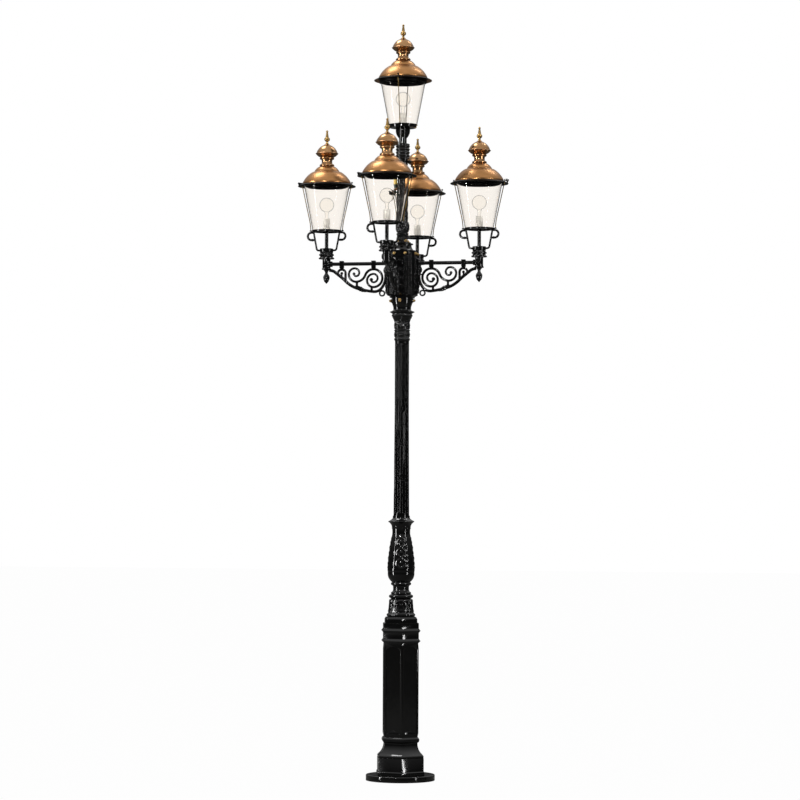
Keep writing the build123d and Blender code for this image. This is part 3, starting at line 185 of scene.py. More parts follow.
def bow(start: Array, end: Array, bulge: float) -> Array:
    """Points of a circular arc between two points.

    The middle of the arc stands off its chord by the bulge, to the right of the way from start to end. With
    half chord c and bulge s its radius is (c² + s²) / 2s, and it spans four times atan(s / c).

    Args:
        start: first point, two numbers.
        end: last point, two numbers.
        bulge: height of the arc over its chord; 0 is a straight line.

    Returns:
        An array of points, both ends among them.
    """
    if not bulge:
        return np.vstack([start, end])
    chord = end - start
    half = np.linalg.norm(chord) / 2
    ahead = chord / (2 * half)
    right = np.array([ahead[1], -ahead[0]])
    radius = (half**2 + bulge**2) / (2 * abs(bulge))
    span = 2 * np.arctan2(abs(bulge), half)
    t = np.linspace(-span, span, ARC_POINTS)[:, None]
    out = np.sign(bulge) * radius * (np.cos(t) - np.cos(span))
    return (start + end) / 2 + radius * np.sin(t) * ahead + out * right


def moulding(foot: float, base: float, steps: Iterable[Step]) -> Array:
    """Profile of a turned piece, from its foot upwards.

    Args:
        foot: reach from the axis at the foot.
        base: height of the foot.
        steps: for each line or arc, its reach at the end, its rise and its bulge outwards.

    Returns:
        An array of (reach, height) points.
    """
    point = np.array([foot, base], float)
    runs = [point[None, :]]
    for reach, rise, bulge in steps:
        end = np.array([reach, point[1] + rise])
        runs.append(bow(point, end, bulge)[1:])
        point = end
    return np.vstack(runs)


def soften(profile: Array, radius: float, least: float = 18.0, points: int = 5) -> Array:
    """Round the corners of a profile.

    Each corner that turns by more than a least angle becomes a quadratic curve whose middle point is the
    corner and whose ends lie one radius, or at most 0.45 of the shorter neighbour, away along both lines.

    Args:
        profile: array of points.
        radius: distance from a corner to where its rounding starts.
        least: smallest turn, in degrees, that is rounded.
        points: points on each rounding.

    Returns:
        A longer array of points.
    """
    here = profile[1:-1]
    back = profile[:-2] - here
    ahead = profile[2:] - here
    back_len = np.linalg.norm(back, axis=1, keepdims=True)
    ahead_len = np.linalg.norm(ahead, axis=1, keepdims=True)
    turn = np.degrees(np.arccos(np.clip(-(back * ahead).sum(1) / (back_len * ahead_len)[:, 0], -1, 1)))
    reach = np.where(turn > least, radius, 0)[:, None]
    first = here + back / back_len * np.minimum(reach, 0.45 * back_len)
    last = here + ahead / ahead_len * np.minimum(reach, 0.45 * ahead_len)
    t = np.linspace(0, 1, points)[None, :, None]
    curve = (1 - t) ** 2 * first[:, None] + 2 * t * (1 - t) * here[:, None] + t**2 * last[:, None]
    line = np.vstack([profile[:1], curve.reshape(-1, 2), profile[-1:]])
    keep = np.append(True, np.linalg.norm(np.diff(line, axis=0), axis=1) > 1e-6)
    return line[keep]


def refine(profile: Array, step: float) -> Array:
    """Divide the lines of a profile evenly, so that none is longer than a step.

    Args:
        profile: array of points.
        step: longest line that may stay.

    Returns:
        The profile with the added points.
    """
    lines = np.diff(profile, axis=0)
    parts = np.maximum(1, np.ceil(np.linalg.norm(lines, axis=1) / step)).astype(int)
    which = np.repeat(np.arange(len(parts)), parts)
    within = np.arange(parts.sum()) - np.repeat(np.cumsum(parts) - parts, parts)
    share = (within / parts[which])[:, None]
    return np.vstack([profile[which] + share * lines[which], profile[-1:]])


def capped(outside: Array, bore: float = 0.0) -> Array:
    """A profile run in to the bore, or to the axis, at both of its ends."""
    return np.vstack([[[bore, outside[0, 1]]], outside, [[bore, outside[-1, 1]]]])


def lathe(profile: Array, columns: int, relief: Optional[Relief] = None, skin: int = 0) -> Sheet:
    """Turn a profile about the upright axis.

    A point is (r cos a, r sin a, h). The reach r is the profile's plus the relief at angle a and height h.

    Args:
        profile: array of (reach, height).
        columns: points around.
        relief: height of the ornament for arrays of angle and height.
        skin: finish number.

    Returns:
        A closed sheet.
    """
    angle = np.linspace(0, 2 * np.pi, columns, endpoint=False)[None, :]
    height = profile[:, 1:2] + 0 * angle
    reach = profile[:, 0:1] + (relief(angle, height) if relief else 0 * angle)
    return Sheet(np.stack([reach * np.cos(angle), reach * np.sin(angle), height], axis=2), skin)


def ring_section(radius: float, points: int) -> Array:
    """Round section of a bar, as offsets up and across."""
    angle = np.linspace(0, 2 * np.pi, points, endpoint=False)
    return radius * np.stack([np.cos(angle), np.sin(angle)], axis=1)


def bar_section(height: float, width: float, roundness: float, points: int) -> Array:
    """Rounded-off rectangle: a superellipse, |x|^n + |y|^n = 1, scaled to the height and width."""
    angle = np.linspace(0, 2 * np.pi, points, endpoint=False) + np.pi / points
    c, s = np.cos(angle), np.sin(angle)
    size = (np.abs(c) ** roundness + np.abs(s) ** roundness) ** (-1 / roundness)
    return np.stack([size * c * height / 2, size * s * width / 2], axis=1)


def sweep(path: Array, section: Array, scale: Optional[Array] = None) -> Sheet:
    """Carry a section along a path in the upright plane through +X and close its ends.

    At each point of the path the section stands on the tangent's two normals: +Y, which lies across the
    path's plane, and +Y crossed with the tangent.

    Args:
        path: array of points in space.
        section: offsets up and across.
        scale: size of the section at each point.

    Returns:
        A closed sheet.
    """
    tangent = np.gradient(path, axis=0)
    tangent /= np.linalg.norm(tangent, axis=1, keepdims=True)
    side = np.array([0.0, 1.0, 0.0])
    up = np.cross(side, tangent)
    size = (np.ones(len(path)) if scale is None else scale)[:, None, None]
    rings = path[:, None, :] + size * (section[None, :, :1] * up[:, None, :] + section[None, :, 1:] * side)
    caps = np.ones((1, len(section), 1))
    return Sheet(np.concatenate([path[:1, None, :] * caps, rings, path[-1:, None, :] * caps]))


def ball(centre: Sequence[float], radius: float, flat: float = 1.0, skin: int = 0) -> Sheet:
    """Ball about a centre: a half circle turned about the upright, its height times flat."""
    t = np.linspace(-np.pi / 2, np.pi / 2, 13)
    shape = lathe(np.stack([radius * np.cos(t), radius * flat * np.sin(t)], axis=1), 20, skin=skin)
    return shape.moved(*centre)


def upright_path(flat: Array) -> Array:
    """Points of the upright plane through +X, from their reach and height."""
    return np.stack([flat[:, 0], 0 * flat[:, 0], flat[:, 1]], axis=1)


def arc_chain(
    start: Sequence[float], heading: float, turns: Iterable[tuple[float, float]], step: float
) -> Array:
    """Arcs end to end, each leaving in the last one's direction.

    A point after turning by t on radius R lies at R sin t ahead and R (1 - cos t) to the side.

    Args:
        start: first point.
        heading: first direction in degrees.
        turns: radius and turn in degrees of each arc; a turn to the right is negative.
        step: distance between points.

    Returns:
        An array of points.
    """
    point = np.array(start, float)
    course = np.radians(heading)
    runs = [point[None, :]]
    for radius, turn in turns:
        sweep_by = np.radians(turn)
        count = max(3, int(radius * abs(sweep_by) / step))
        t = np.linspace(0, abs(sweep_by), count)[1:, None]
        ahead = np.array([np.cos(course), np.sin(course)])
        left = np.array([-ahead[1], ahead[0]]) * np.sign(turn)
        runs.append(point + radius * np.sin(t) * ahead + radius * (1 - np.cos(t)) * left)
        point = runs[-1][-1]
        course += sweep_by
    return np.vstack(runs)


def prism(outline: Array, half: float, edge: float, skin: int = 0) -> Sheet:
    """A plate cut to an outline in the upright plane, its edges rounded off on both faces.

    Rows of the sheet are the outline drawn in towards its middle by the edge, the outline itself, and the
    same on the other face; the first and last rows meet in the middle.

    Args:
        outline: corner points (reach, height), in order.
        half: half of the thickness.
        edge: size of the rounding.
        skin: finish number.

    Returns:
        A closed sheet.
    """
    middle = outline.mean(axis=0)
    away = outline - middle
    inner = middle + away * (1 - edge / np.linalg.norm(away, axis=1, keepdims=True))
    rows = [
        (0 * outline + middle, -half),
        (inner, -half),
        (outline, -half + edge),
        (outline, half - edge),
        (inner, half),
        (0 * outline + middle, half),
    ]
    layers = [np.stack([p[:, 0], np.full(len(p), y), p[:, 1]], axis=1) for p, y in rows]
    return Sheet(np.stack(layers), skin)


def panel(angle: Array, count: int, turn: float) -> Array:
    """Place across each of some equal panels around, from -1 to 1; the first lies at a turn in degrees."""
    return ((angle - np.radians(turn)) * count / (2 * np.pi) + 0.5) % 1 * 2 - 1


def off_line(angle: Array, count: int, reach: float | Array) -> Array:
    """Distance round a reach from the nearest of some evenly set upright lines."""
    return ((angle * count / (2 * np.pi) + 0.5) % 1 - 0.5) * 2 * np.pi * reach / count


def foliage(count: int, low: float, high: float, depth: float, lobes: int, turn: float = 0.0) -> Relief:
    """Relief of a ring of upright lobed leaves.

    v runs from 0 at a leaf's foot to 1 at its tip and u from -1 to 1 across its place. The leaf's edge is
    w(v) = sin(pi v^0.75)^0.55 (0.76 + 0.24 |cos(lobes pi v)|). Inside it the height is the depth times a
    smooth step over the edge, hollowed towards a raised midrib, with veins that rise outwards.

    Args:
        count: leaves around.
        low: height of the leaves' feet.
        high: height of their tips.
        depth: height of the relief.
        lobes: lobes on each side.
        turn: angle of the first leaf in degrees.

    Returns:
        A relief.
    """

    def height(angle: Array, z: Array) -> Array:
        """Height of the leaves at an angle and a height."""
        v = np.clip((z - low) / (high - low), 0, 1)
        u = panel(angle, count, turn)
        edge = np.sin(np.pi * v**0.75) ** 0.55 * (0.76 + 0.24 * np.abs(np.cos(lobes * np.pi * v)))
        inside = ease(edge - np.abs(u), 0.0, 0.22)
        hollow = 0.55 + 0.45 * np.clip(np.abs(u) / np.maximum(edge, 0.05), 0, 1) ** 2
        rib = 0.55 * np.exp(-((u / 0.09) ** 2))
        veins = 0.12 * np.cos(2 * np.pi * (lobes * v - 1.6 * np.abs(u)))
        band = ease(z, low, low + 3) * ease(-z, -high, -high + 3)
        return depth * inside * band * (hollow + rib + veins)

    return height


def scrollwork(count: int, low: float, high: float, depth: float, waves: float, turn: float) -> Relief:
    """Relief of upright panels of two crossing scrolls with buds in their eyes.

    In each panel two ridges follow u = ±0.42 sin(waves pi v); the buds are round bosses where the scrolls are
    widest apart, on the middle line.

    Args:
        count: panels around.
        low: height of the panels' feet.
        high: height of their tops.
        depth: height of the relief.
        waves: half turns of the scrolls.
        turn: angle of the first panel in degrees.

    Returns:
        A relief.
    """

    def height(angle: Array, z: Array) -> Array:
        """Height of the scrolls at an angle and a height."""
        v = np.clip((z - low) / (high - low), 0, 1)
        u = panel(angle, count, turn)
        line = 0.42 * np.sin(waves * np.pi * v)
        ridges = np.exp(-(((u - line) / 0.13) ** 2)) + np.exp(-(((u + line) / 0.13) ** 2))
        eye = np.exp(-((u / 0.15) ** 2)) * np.abs(np.sin(waves * np.pi * v)) ** 6
        leaf = 0.5 * np.exp(-(((np.abs(u) - 0.72) / 0.1) ** 2)) * np.abs(np.cos(waves * np.pi * v)) ** 2
        band = ease(z, low, low + 8) * ease(-z, -high, -high + 8)
        return depth * band * np.clip(ridges + eye + leaf, 0, 1.3)

    return height


def beads(count: int, level: float, radius: float, reach: float) -> Relief:
    """Relief of a row of round beads: each is the part of a sphere that stands out of the surface."""

    def height(angle: Array, z: Array) -> Array:
        """Height of the beads at an angle and a height."""
        across = off_line(angle, count, reach)
        return np.sqrt(np.clip(radius**2 - across**2 - (z - level) ** 2, 0, None)) * 0.8

    return height


def reeds(count: int, low: float, high: float, radius: float, reach: float) -> Relief:
    """Relief of upright half-round reeds: each is the square root of radius² less the distance across²."""

    def height(angle: Array, z: Array) -> Array:
        """Height of the reeds at an angle and a height."""
        across = off_line(angle, count, reach)
        body = np.sqrt(np.clip(radius**2 - across**2, 0, None))
        return body * ((z > low) & (z < high))

    return height


def petals(count: int, low: float, high: float, cut: float, turn: float) -> Relief:
    """Relief that notches a flange into pointed petals: minus the cut times 1 - |cos(count a / 2)|^0.7."""

    def height(angle: Array, z: Array) -> Array:
        """Depth of the notches at an angle and a height."""
        wave = np.abs(np.cos(count * (angle - np.radians(turn)) / 2)) ** 0.7
        middle = (low + high) / 2
        band = np.clip(1 - np.abs(z - middle) / ((high - low) / 2), 0, 1)
        return -cut * (1 - wave) * band

    return height


def together(*parts: Relief) -> Relief:
    """Sum of several reliefs."""

    def height(angle: Array, z: Array) -> Array:
        """Height of all the reliefs."""
        return sum(part(angle, z) for part in parts)

    return height


@dataclass(frozen=True)
class Finish:
    """A surface finish: its name, colour and gloss. Patterns are added by the kinds of finish below."""

    name: str
    colour: str
    roughness: float
    metallic: float = 0.0

    def shader(self, tree: bpy.types.NodeTree) -> bpy.types.Node:
        """Surface shader with this finish's plain values, joined to the output."""
        shader = add_node(
            tree,
            "ShaderNodeBsdfPrincipled",
            {"Base Color": linear(self.colour), "Roughness": self.roughness, "Metallic": self.metallic},
        )
        add_node(tree, "ShaderNodeOutputMaterial", links={"Surface": shader.outputs["BSDF"]})
        return shader

    def dress(self, tree: bpy.types.NodeTree, shader: bpy.types.Node) -> None:
        """Add the finish's pattern; a plain finish has none."""

    def material(self) -> bpy.types.Material:
        """The Blender material of this finish, made on first use."""
        made = bpy.data.materials.get(self.name)
        if made is None:
            made = bpy.data.materials.new(self.name)
            made.use_nodes = True
            made.node_tree.nodes.clear()
            self.dress(made.node_tree, self.shader(made.node_tree))
        return made

    def grain(
        self, tree: bpy.types.NodeTree, size: float, detail: float, squeeze: float = 1.0
    ) -> bpy.types.Node:
        """Noise with grains of a size in millimetres, squeezed along the upright.

        Args:
            tree: node tree of the material.
            size: width of a grain.
            detail: octaves of finer noise.
            squeeze: how many times flatter a grain is than wide.

        Returns:
            The noise node.
        """
        place = add_node(tree, "ShaderNodeTexCoord")
        mapped = add_node(
            tree, "ShaderNodeMapping", {"Scale": (1, 1, squeeze)}, {"Vector": place.outputs["Object"]}
        )
        return add_node(
            tree,
            "ShaderNodeTexNoise",
            {"Scale": 1 / (size * MM), "Detail": detail, "Roughness": 0.55},
            {"Vector": mapped.outputs["Vector"]},
        )

    def spread(
        self, tree: bpy.types.NodeTree, shader: bpy.types.Node, noise: bpy.types.Node, low: str, high: str
    ) -> None:
        """Colour a shader by the middle of a noise, from a low to a high colour."""
        ramp = add_node(tree, "ShaderNodeValToRGB", links={"Fac": noise.outputs["Fac"]})
        ramp.color_ramp.elements[0].position = 0.32
        ramp.color_ramp.elements[0].color = linear(low)
        ramp.color_ramp.elements[1].position = 0.68
        ramp.color_ramp.elements[1].color = linear(high)
        tree.links.new(ramp.outputs["Color"], shader.inputs["Base Color"])

    def bump(
        self, tree: bpy.types.NodeTree, shader: bpy.types.Node, noise: bpy.types.Node, height: float
    ) -> None:
        """Bump a shader by a noise of a height in millimetres."""
        made = add_node(
            tree,
            "ShaderNodeBump",
            {"Strength": 1.0, "Distance": height * MM},
            {"Height": noise.outputs["Fac"]},
        )
        tree.links.new(made.outputs["Normal"], shader.inputs["Normal"])

    def gloss(
        self, tree: bpy.types.NodeTree, shader: bpy.types.Node, noise: bpy.types.Node, low: float, high: float
    ) -> None:
        """Vary a shader's roughness by a noise."""
        made = add_node(
            tree,
            "ShaderNodeMapRange",
            {"From Min": 0.3, "From Max": 0.7, "To Min": low, "To Max": high},
            {"Value": noise.outputs["Fac"]},
        )
        tree.links.new(made.outputs["Result"], shader.inputs["Roughness"])


@dataclass(frozen=True)
class PaintedIron(Finish):
    """Gloss enamel on a sand casting: near black, wet-looking, over slightly lumpy iron."""

    dust: str = "#060606"
    lump: float = 26.0
    lump_height: float = 0.55
    shine: float = 0.4

    def dress(self, tree: bpy.types.NodeTree, shader: bpy.types.Node) -> None:
        """Lumps of the casting under the paint, and a thin uneven film of dust."""
        shader.inputs["Specular IOR Level"].default_value = self.shine
        film = self.grain(tree, 70, 4)
        self.spread(tree, shader, film, self.colour, self.dust)
        self.gloss(tree, shader, film, self.roughness, self.roughness + 0.04)
        self.bump(tree, shader, self.grain(tree, self.lump, 2), self.lump_height)


@dataclass(frozen=True)
class SpunMetal(Finish):
    """Spun sheet metal: soft lines round the axis from the spinning tool, and a slow change of tone."""

    dark: str = "#8a5634"
    line: float = 2.4
    line_height: float = 0.05

    def dress(self, tree: bpy.types.NodeTree, shader: bpy.types.Node) -> None:
        """Tone in patches, and spinning lines that are drawn coarser than the real ones so that they show."""
        tone = self.grain(tree, 60, 5, 1.6)
        self.spread(tree, shader, tone, self.dark, self.colour)
        lines = self.grain(tree, 160, 3, 160 / self.line)
        self.gloss(tree, shader, lines, self.roughness - 0.06, self.roughness + 0.08)
        self.bump(tree, shader, lines, self.line_height)


@dataclass(frozen=True)
class CastBrass(Finish):
    """Polished brass with a little tarnish in it."""

    tarnish: str = "#8c6a30"

    def dress(self, tree: bpy.types.NodeTree, shader: bpy.types.Node) -> None:
        """Tarnish in small patches, duller than the bright metal."""
        patches = self.grain(tree, 14, 4)
        self.spread(tree, shader, patches, self.tarnish, self.colour)
        self.gloss(tree, shader, patches, self.roughness + 0.1, self.roughness)


@dataclass(frozen=True)
class ClearGlass(Finish):
    """Blown glass, clear, with a warm cast from light passing through it."""

    ripple: float = 40.0
    ripple_height: float = 0.05
    bend: float = 1.46

    def dress(self, tree: bpy.types.NodeTree, shader: bpy.types.Node) -> None:
        """Slow ripples of the blown surface."""
        shader.inputs["Transmission Weight"].default_value = 1.0
        shader.inputs["IOR"].default_value = self.bend
        self.bump(tree, shader, self.grain(tree, self.ripple, 1), self.ripple_height)


@dataclass(frozen=True)
class Moulded(Finish):
    """Moulded or glazed surface with a fine pebble."""

    pebble: float = 3.0
    pebble_height: float = 0.04
    stain: str = "#d8d4c8"

    def dress(self, tree: bpy.types.NodeTree, shader: bpy.types.Node) -> None:
        """Fine pebble, and a faint stain."""
        stain = self.grain(tree, 30, 3)
        self.spread(tree, shader, stain, self.stain, self.colour)
        self.bump(tree, shader, self.grain(tree, self.pebble, 2), self.pebble_height)


IRON_PAINT = PaintedIron("gloss_enamel_on_cast_iron", "#040404", 0.07, lump_height=0.2)
SHAFT_PAINT = PaintedIron(
    "gloss_enamel_on_turned_iron", "#040404", 0.06, lump=70.0, lump_height=0.06, shine=0.2
)
CASTING_PAINT = PaintedIron("gloss_enamel_on_fine_casting", "#050505", 0.07, lump=14.0, lump_height=0.12)
STEM_PAINT = PaintedIron("gloss_enamel_on_smooth_iron", "#040404", 0.06, lump=40.0, lump_height=0.05)
BAR_PAINT = PaintedIron("gloss_enamel_on_bar", "#050505", 0.1, lump=9.0, lump_height=0.1)
# Black satin enamel of the brims; it also dresses the lids' insides, as painted shade in black.
BRIM_PAINT_AND_LID_SHADE = PaintedIron("satin_enamel_and_painted_lid_shade", "#040404", 0.3, lump=40.0, lump_height=0.05, shine=0.05)
COPPER_SPUN = SpunMetal("spun_copper", "#a97b4e", 0.33, 1.0, dark="#9b6f44")
COPPER_BRIGHT = SpunMetal("polished_copper", "#b28a62", 0.22, 1.0, dark="#97714b", line=1.6)
FINIAL_BRASS = CastBrass("polished_brass", "#b8965e", 0.26, 1.0, tarnish="#967846")
ROD_BRASS = CastBrass("dulled_brass_rod", "#75603a", 0.34, 1.0, tarnish="#5a492b")
NUT_BRASS = CastBrass("brass_cap_nut", "#c2a168", 0.26, 1.0, tarnish="#98794a")
LANTERN_GLASS = ClearGlass("blown_lantern_glass", "#fefbf7", 0.02, bend=1.22)
BULB_GLASS = ClearGlass("blown_bulb_glass", "#fefdfb", 0.02, bend=1.08)
HOLDER_GLAZE = Moulded("glazed_porcelain", "#fbfaf6", 0.25, stain="#f0eee8")
BOARD_PLASTIC = Moulded("moulded_phenolic_board", "#4a3527", 0.45, stain="#3a2a20")
TUBE_STEEL = CastBrass("galvanised_steel", "#a9adb0", 0.42, 1.0, tarnish="#7e8386")
PIN_STEEL = CastBrass("blackened_steel_pin", "#3a3a3b", 0.4, 1.0, tarnish="#262627")
SENSOR_AMBER = Moulded("moulded_amber_polycarbonate", "#fbe08a", 0.25, stain="#f0cc62")
SENSOR_CUP = Moulded("moulded_green_grey_plastic", "#3c4a40", 0.4, stain="#2c3830")
CAP_BRASS = CastBrass("pressed_bulb_cap", "#c7b06f", 0.3, 1.0, tarnish="#8f7a45")


def weld_sheets(work: bmesh.types.BMesh) -> None:
    """Merge the points that sheets share and turn the faces outwards."""
    bmesh.ops.remove_doubles(work, verts=work.verts, dist=WELD)
    bmesh.ops.recalc_face_normals(work, faces=work.faces)


def weld_node(work: bmesh.types.BMesh) -> None:
    """Merge the doubled points of a copied node."""
    bmesh.ops.remove_doubles(work, verts=work.verts, dist=NODE_WELD)


def join_flats(work: bmesh.types.BMesh) -> None:
    """Join faces that lie flat beside each other."""
    bmesh.ops.dissolve_limit(work, angle_limit=FLAT_ANGLE, verts=work.verts, edges=work.edges)


class Bench:
    """Where the pieces are put together: sheets become dressed objects that ride on the model's bodies."""

    @staticmethod
    def rework(mesh: bpy.types.Mesh, *jobs: MeshJob) -> None:
        """Put a mesh through some jobs, one after the other, and smooth all but the sharp edges after each.

        Args:
            mesh: mesh to finish.
            jobs: changes to its points and faces.
        """
        for job in jobs:
            work = bmesh.new()
            work.from_mesh(mesh)
            job(work)
            work.to_mesh(mesh)
            work.free()
            mesh.shade_smooth()
            mesh.set_sharp_from_angle(angle=SMOOTH_ANGLE)

    def piece(
        self,
        name: str,
        sheets: Sequence[Sheet],
        finishes: Sequence[Finish],
        slot: Slot,
        nodes: Sequence[str] = (),
        body: str = POST,
    ) -> bpy.types.Object:
        """Make one object of several sheets.

        The four corners of face (i, j) are points (i, j), (i, j+1), (i+1, j+1) and (i+1, j), where j+1 goes
        back to 0 after the last column.

        Args:
            name: name of the object.
            sheets: its surfaces, in millimetres.
            finishes: finish of each skin number.
            slot: the record's slot that the piece's finish belongs to.
            nodes: nodes of the model that it stands for.
            body: body that it rides on.

        Returns:
            The object.
        """
        faces = []
        skins = []
        start = 0
        for sheet in sheets:
            rows, columns = sheet.points.shape[:2]
            index = start + np.arange(rows * columns).reshape(rows, columns)
            after = np.roll(index, -1, axis=1)
            quads = np.stack([index[:-1], after[:-1], after[1:], index[1:]], axis=2).reshape(-1, 4)
            faces.append(quads)
            skins.append(np.full(len(quads), sheet.skin))
            start += rows * columns
        mesh = bpy.data.meshes.new(name)
        points = np.concatenate([sheet.points.reshape(-1, 3) for sheet in sheets]) * MM
        mesh.from_pydata(points.tolist(), [], np.concatenate(faces).tolist())
        for finish in finishes:
            mesh.materials.append(finish.material())
        mesh.polygons.foreach_set("material_index", np.concatenate(skins))
        self.rework(mesh, weld_sheets)
        made = bpy.data.objects.new(name, mesh)
        bpy.context.scene.collection.objects.link(made)
        self.hand_over(made, slot, nodes, body)
        return made

    def softened(
        self, node: str, finish: Finish, slot: Slot, edge: float, body: str = POST
    ) -> bpy.types.Object:
        """Copy a node of the model and round its sharp edges.

        Args:
            node: name of the node.
            finish: finish of the copy.
            slot: the record's slot that the finish belongs to.
            edge: width of the rounding in millimetres.
            body: body that it rides on.

        Returns:
            The copy.
        """
        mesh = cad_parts[node].data.copy()
        mesh.name = f"{node}_softened"
        self.rework(mesh, weld_node, join_flats)
        mesh.materials.clear()
        mesh.materials.append(finish.material())
        made = bpy.data.objects.new(f"{node}_cast", mesh)
        bpy.context.scene.collection.objects.link(made)
        rounding = made.modifiers.new("rounded_edges", "BEVEL")
        rounding.width = edge * MM
        rounding.segments = BEVEL_FACES
        rounding.limit_method = "ANGLE"
        rounding.angle_limit = BEVEL_ANGLE
        rounding.use_clamp_overlap = True
        self.hand_over(made, slot, [node], body)
        return made

    def redress(self, node: str, finish: Finish) -> None:
        """Give a node that stays as it is a better finish."""
        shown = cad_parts[node]
        for part in shown.material_slots:
            part.material = finish.material()
        LOG.info("%s keeps its shape, in %s", node, finish.name)

    @staticmethod
    def hand_over(made: bpy.types.Object, slot: Slot, nodes: Sequence[str], body: str) -> None:
        """Let a finished piece ride on its body and stand for its nodes.

        Args:
            made: the finished object.
            slot: the record's slot that its finish belongs to; not used.
            nodes: nodes that it stands for.
            body: body that it rides on.
        """
        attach(made, body)
        if nodes:
            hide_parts(*nodes)
        LOG.info("%s: %d faces on %s", made.name, len(made.data.polygons), body)


@dataclass
class Stand:
    """Base plate and pedestal with its service door."""

    edge: float = 2.4

    def build(self, bench: Bench) -> None:
        """Round the castings' edges and finish the fittings inside."""
        bench.softened("base_plate", IRON_PAINT, Slot.IRON, 1.5)
        bench.softened("pedestal", IRON_PAINT, Slot.IRON, self.edge)
        bench.softened("pedestal_door", IRON_PAINT, Slot.IRON, 1.0, "service_door")
        bench.softened("door_lock", TUBE_STEEL, Slot.STEEL, 0.5, "door_lock_cylinder")
        bench.redress("door_hinge_pins", TUBE_STEEL)
        bench.redress("base_screws", TUBE_STEEL)
        bench.redress("core_tube", TUBE_STEEL)
        bench.redress("terminal_board", BOARD_PLASTIC)


@dataclass
class Column:
    """Baluster, fluted shaft and capital."""

    bore: float = 30.2
    baluster_z: float = 1076.0
    shaft_z: float = 1746.0
    shaft_h: float = 1159.0
    capital_z: float = 2905.0
    flutes: int = 16
    flute_r: float = 7.0
    flute_out: float = 3.0
    flute_end: float = 22.0

    def baluster(self, bench: Bench) -> None:
        """Turned casting with a leafy bell, a ringed neck, a vase in scrollwork and a collar of petals."""
        steps = [
            (95, 18, 2), (84, 14, -2), (76, 72, -2), (65, 18, 3), (72, 3, 0), (72, 22, 8), (64, 3, 0),
            (64, 14, 3), (57, 4, 0), (53, 24, -2), (57, 16, -2), (64, 3, 0), (64, 16, 3), (60, 3, 0),
            (88, 66, 10), (90, 22, 1), (60, 228, 4), (63, 50, -2), (68, 16, -1), (87, 18, -1), (86, 3, 0),
            (57, 20, -2), (56, 17, 0),
        ]
        base = self.baluster_z
        profile = capped(soften(moulding(88, base, steps), 4), self.bore)
        ornament = together(
            petals(10, base + 2, base + 40, 6, FACING),
            foliage(10, base + 32, base + 118, 3.4, 2, FACING),
            scrollwork(4, base + 320, base + 530, 3.0, 3, FACING + 270),
            beads(10, base + 586, 4.2, 63),
            petals(8, base + 606, base + 654, 3, FACING),
        )
        sheet = lathe(refine(profile, 2.6), 200, ornament)
        bench.piece("baluster_cast", [sheet], [IRON_PAINT], Slot.IRON, ["baluster"])

    def shaft(self, bench: Bench) -> None:
        """Fluted shaft.

        A flute is a groove of a circle whose middle lies outside the surface: with distance across d and
        distance e beyond the groove's end, its depth is the root of R² - d² - e², less the middle's offset.
        """
        low = self.shaft_z + self.flute_end
        high = self.shaft_z + self.shaft_h - self.flute_end
        rows = np.concatenate([
            np.linspace(self.shaft_z, low + 10, 17),
            np.linspace(low + 50, high - 50, 24),
            np.linspace(high - 10, self.shaft_z + self.shaft_h, 17),
        ])
        reach = np.interp(rows, [self.shaft_z, self.shaft_z + 700, self.shaft_z + self.shaft_h], [52, 47, 47])

        def groove(angle: Array, z: Array) -> Array:
            """Depth of the flutes at an angle and a height."""
            here = np.interp(z, rows, reach)
            across = off_line(angle, self.flutes, here)
            beyond = np.maximum(0, np.maximum(low - z, z - high))
            inside = np.sqrt(np.clip(self.flute_r**2 - across**2 - beyond**2, 0, None))
            return -np.clip(inside - self.flute_out, 0, None)

        profile = capped(np.stack([reach, rows], axis=1), self.bore)
        sheet = lathe(profile, self.flutes * 18, groove)
        bench.piece("shaft_fluted", [sheet], [SHAFT_PAINT], Slot.CASTING, ["shaft"])

    def capital(self, bench: Bench) -> None:
        """Capital: two small rings, a leafy neck, and two flanges cut into petals."""
        steps = [
            (54, 12, 0), (47, 12, 0), (47, 38, 3), (53, 5, 0), (53, 6, 0), (47, 5, 0), (47, 48, 2),
            (71, 42, -4), (64, 14, 0), (85, 12, 0), (59, 12, 0), (59, 19, 0),
        ]
        base = self.capital_z
        profile = capped(soften(moulding(47, base, steps), 4), self.bore)
        ornament = together(
            foliage(8, base + 26, base + 62, 3, 2, FACING),
            foliage(8, base + 80, base + 160, 4.2, 3, FACING),
            petals(12, base + 160, base + 184, 7, FACING),
            petals(12, base + 180, base + 206, 9, FACING),
        )
        sheet = lathe(refine(profile, 2.4), 240, ornament)
        bench.piece("capital_cast", [sheet], [CASTING_PAINT], Slot.CASTING, ["capital"])

    def build(self, bench: Bench) -> None:
        """Make the three castings."""
        self.baluster(bench)
        self.shaft(bench)
        self.capital(bench)


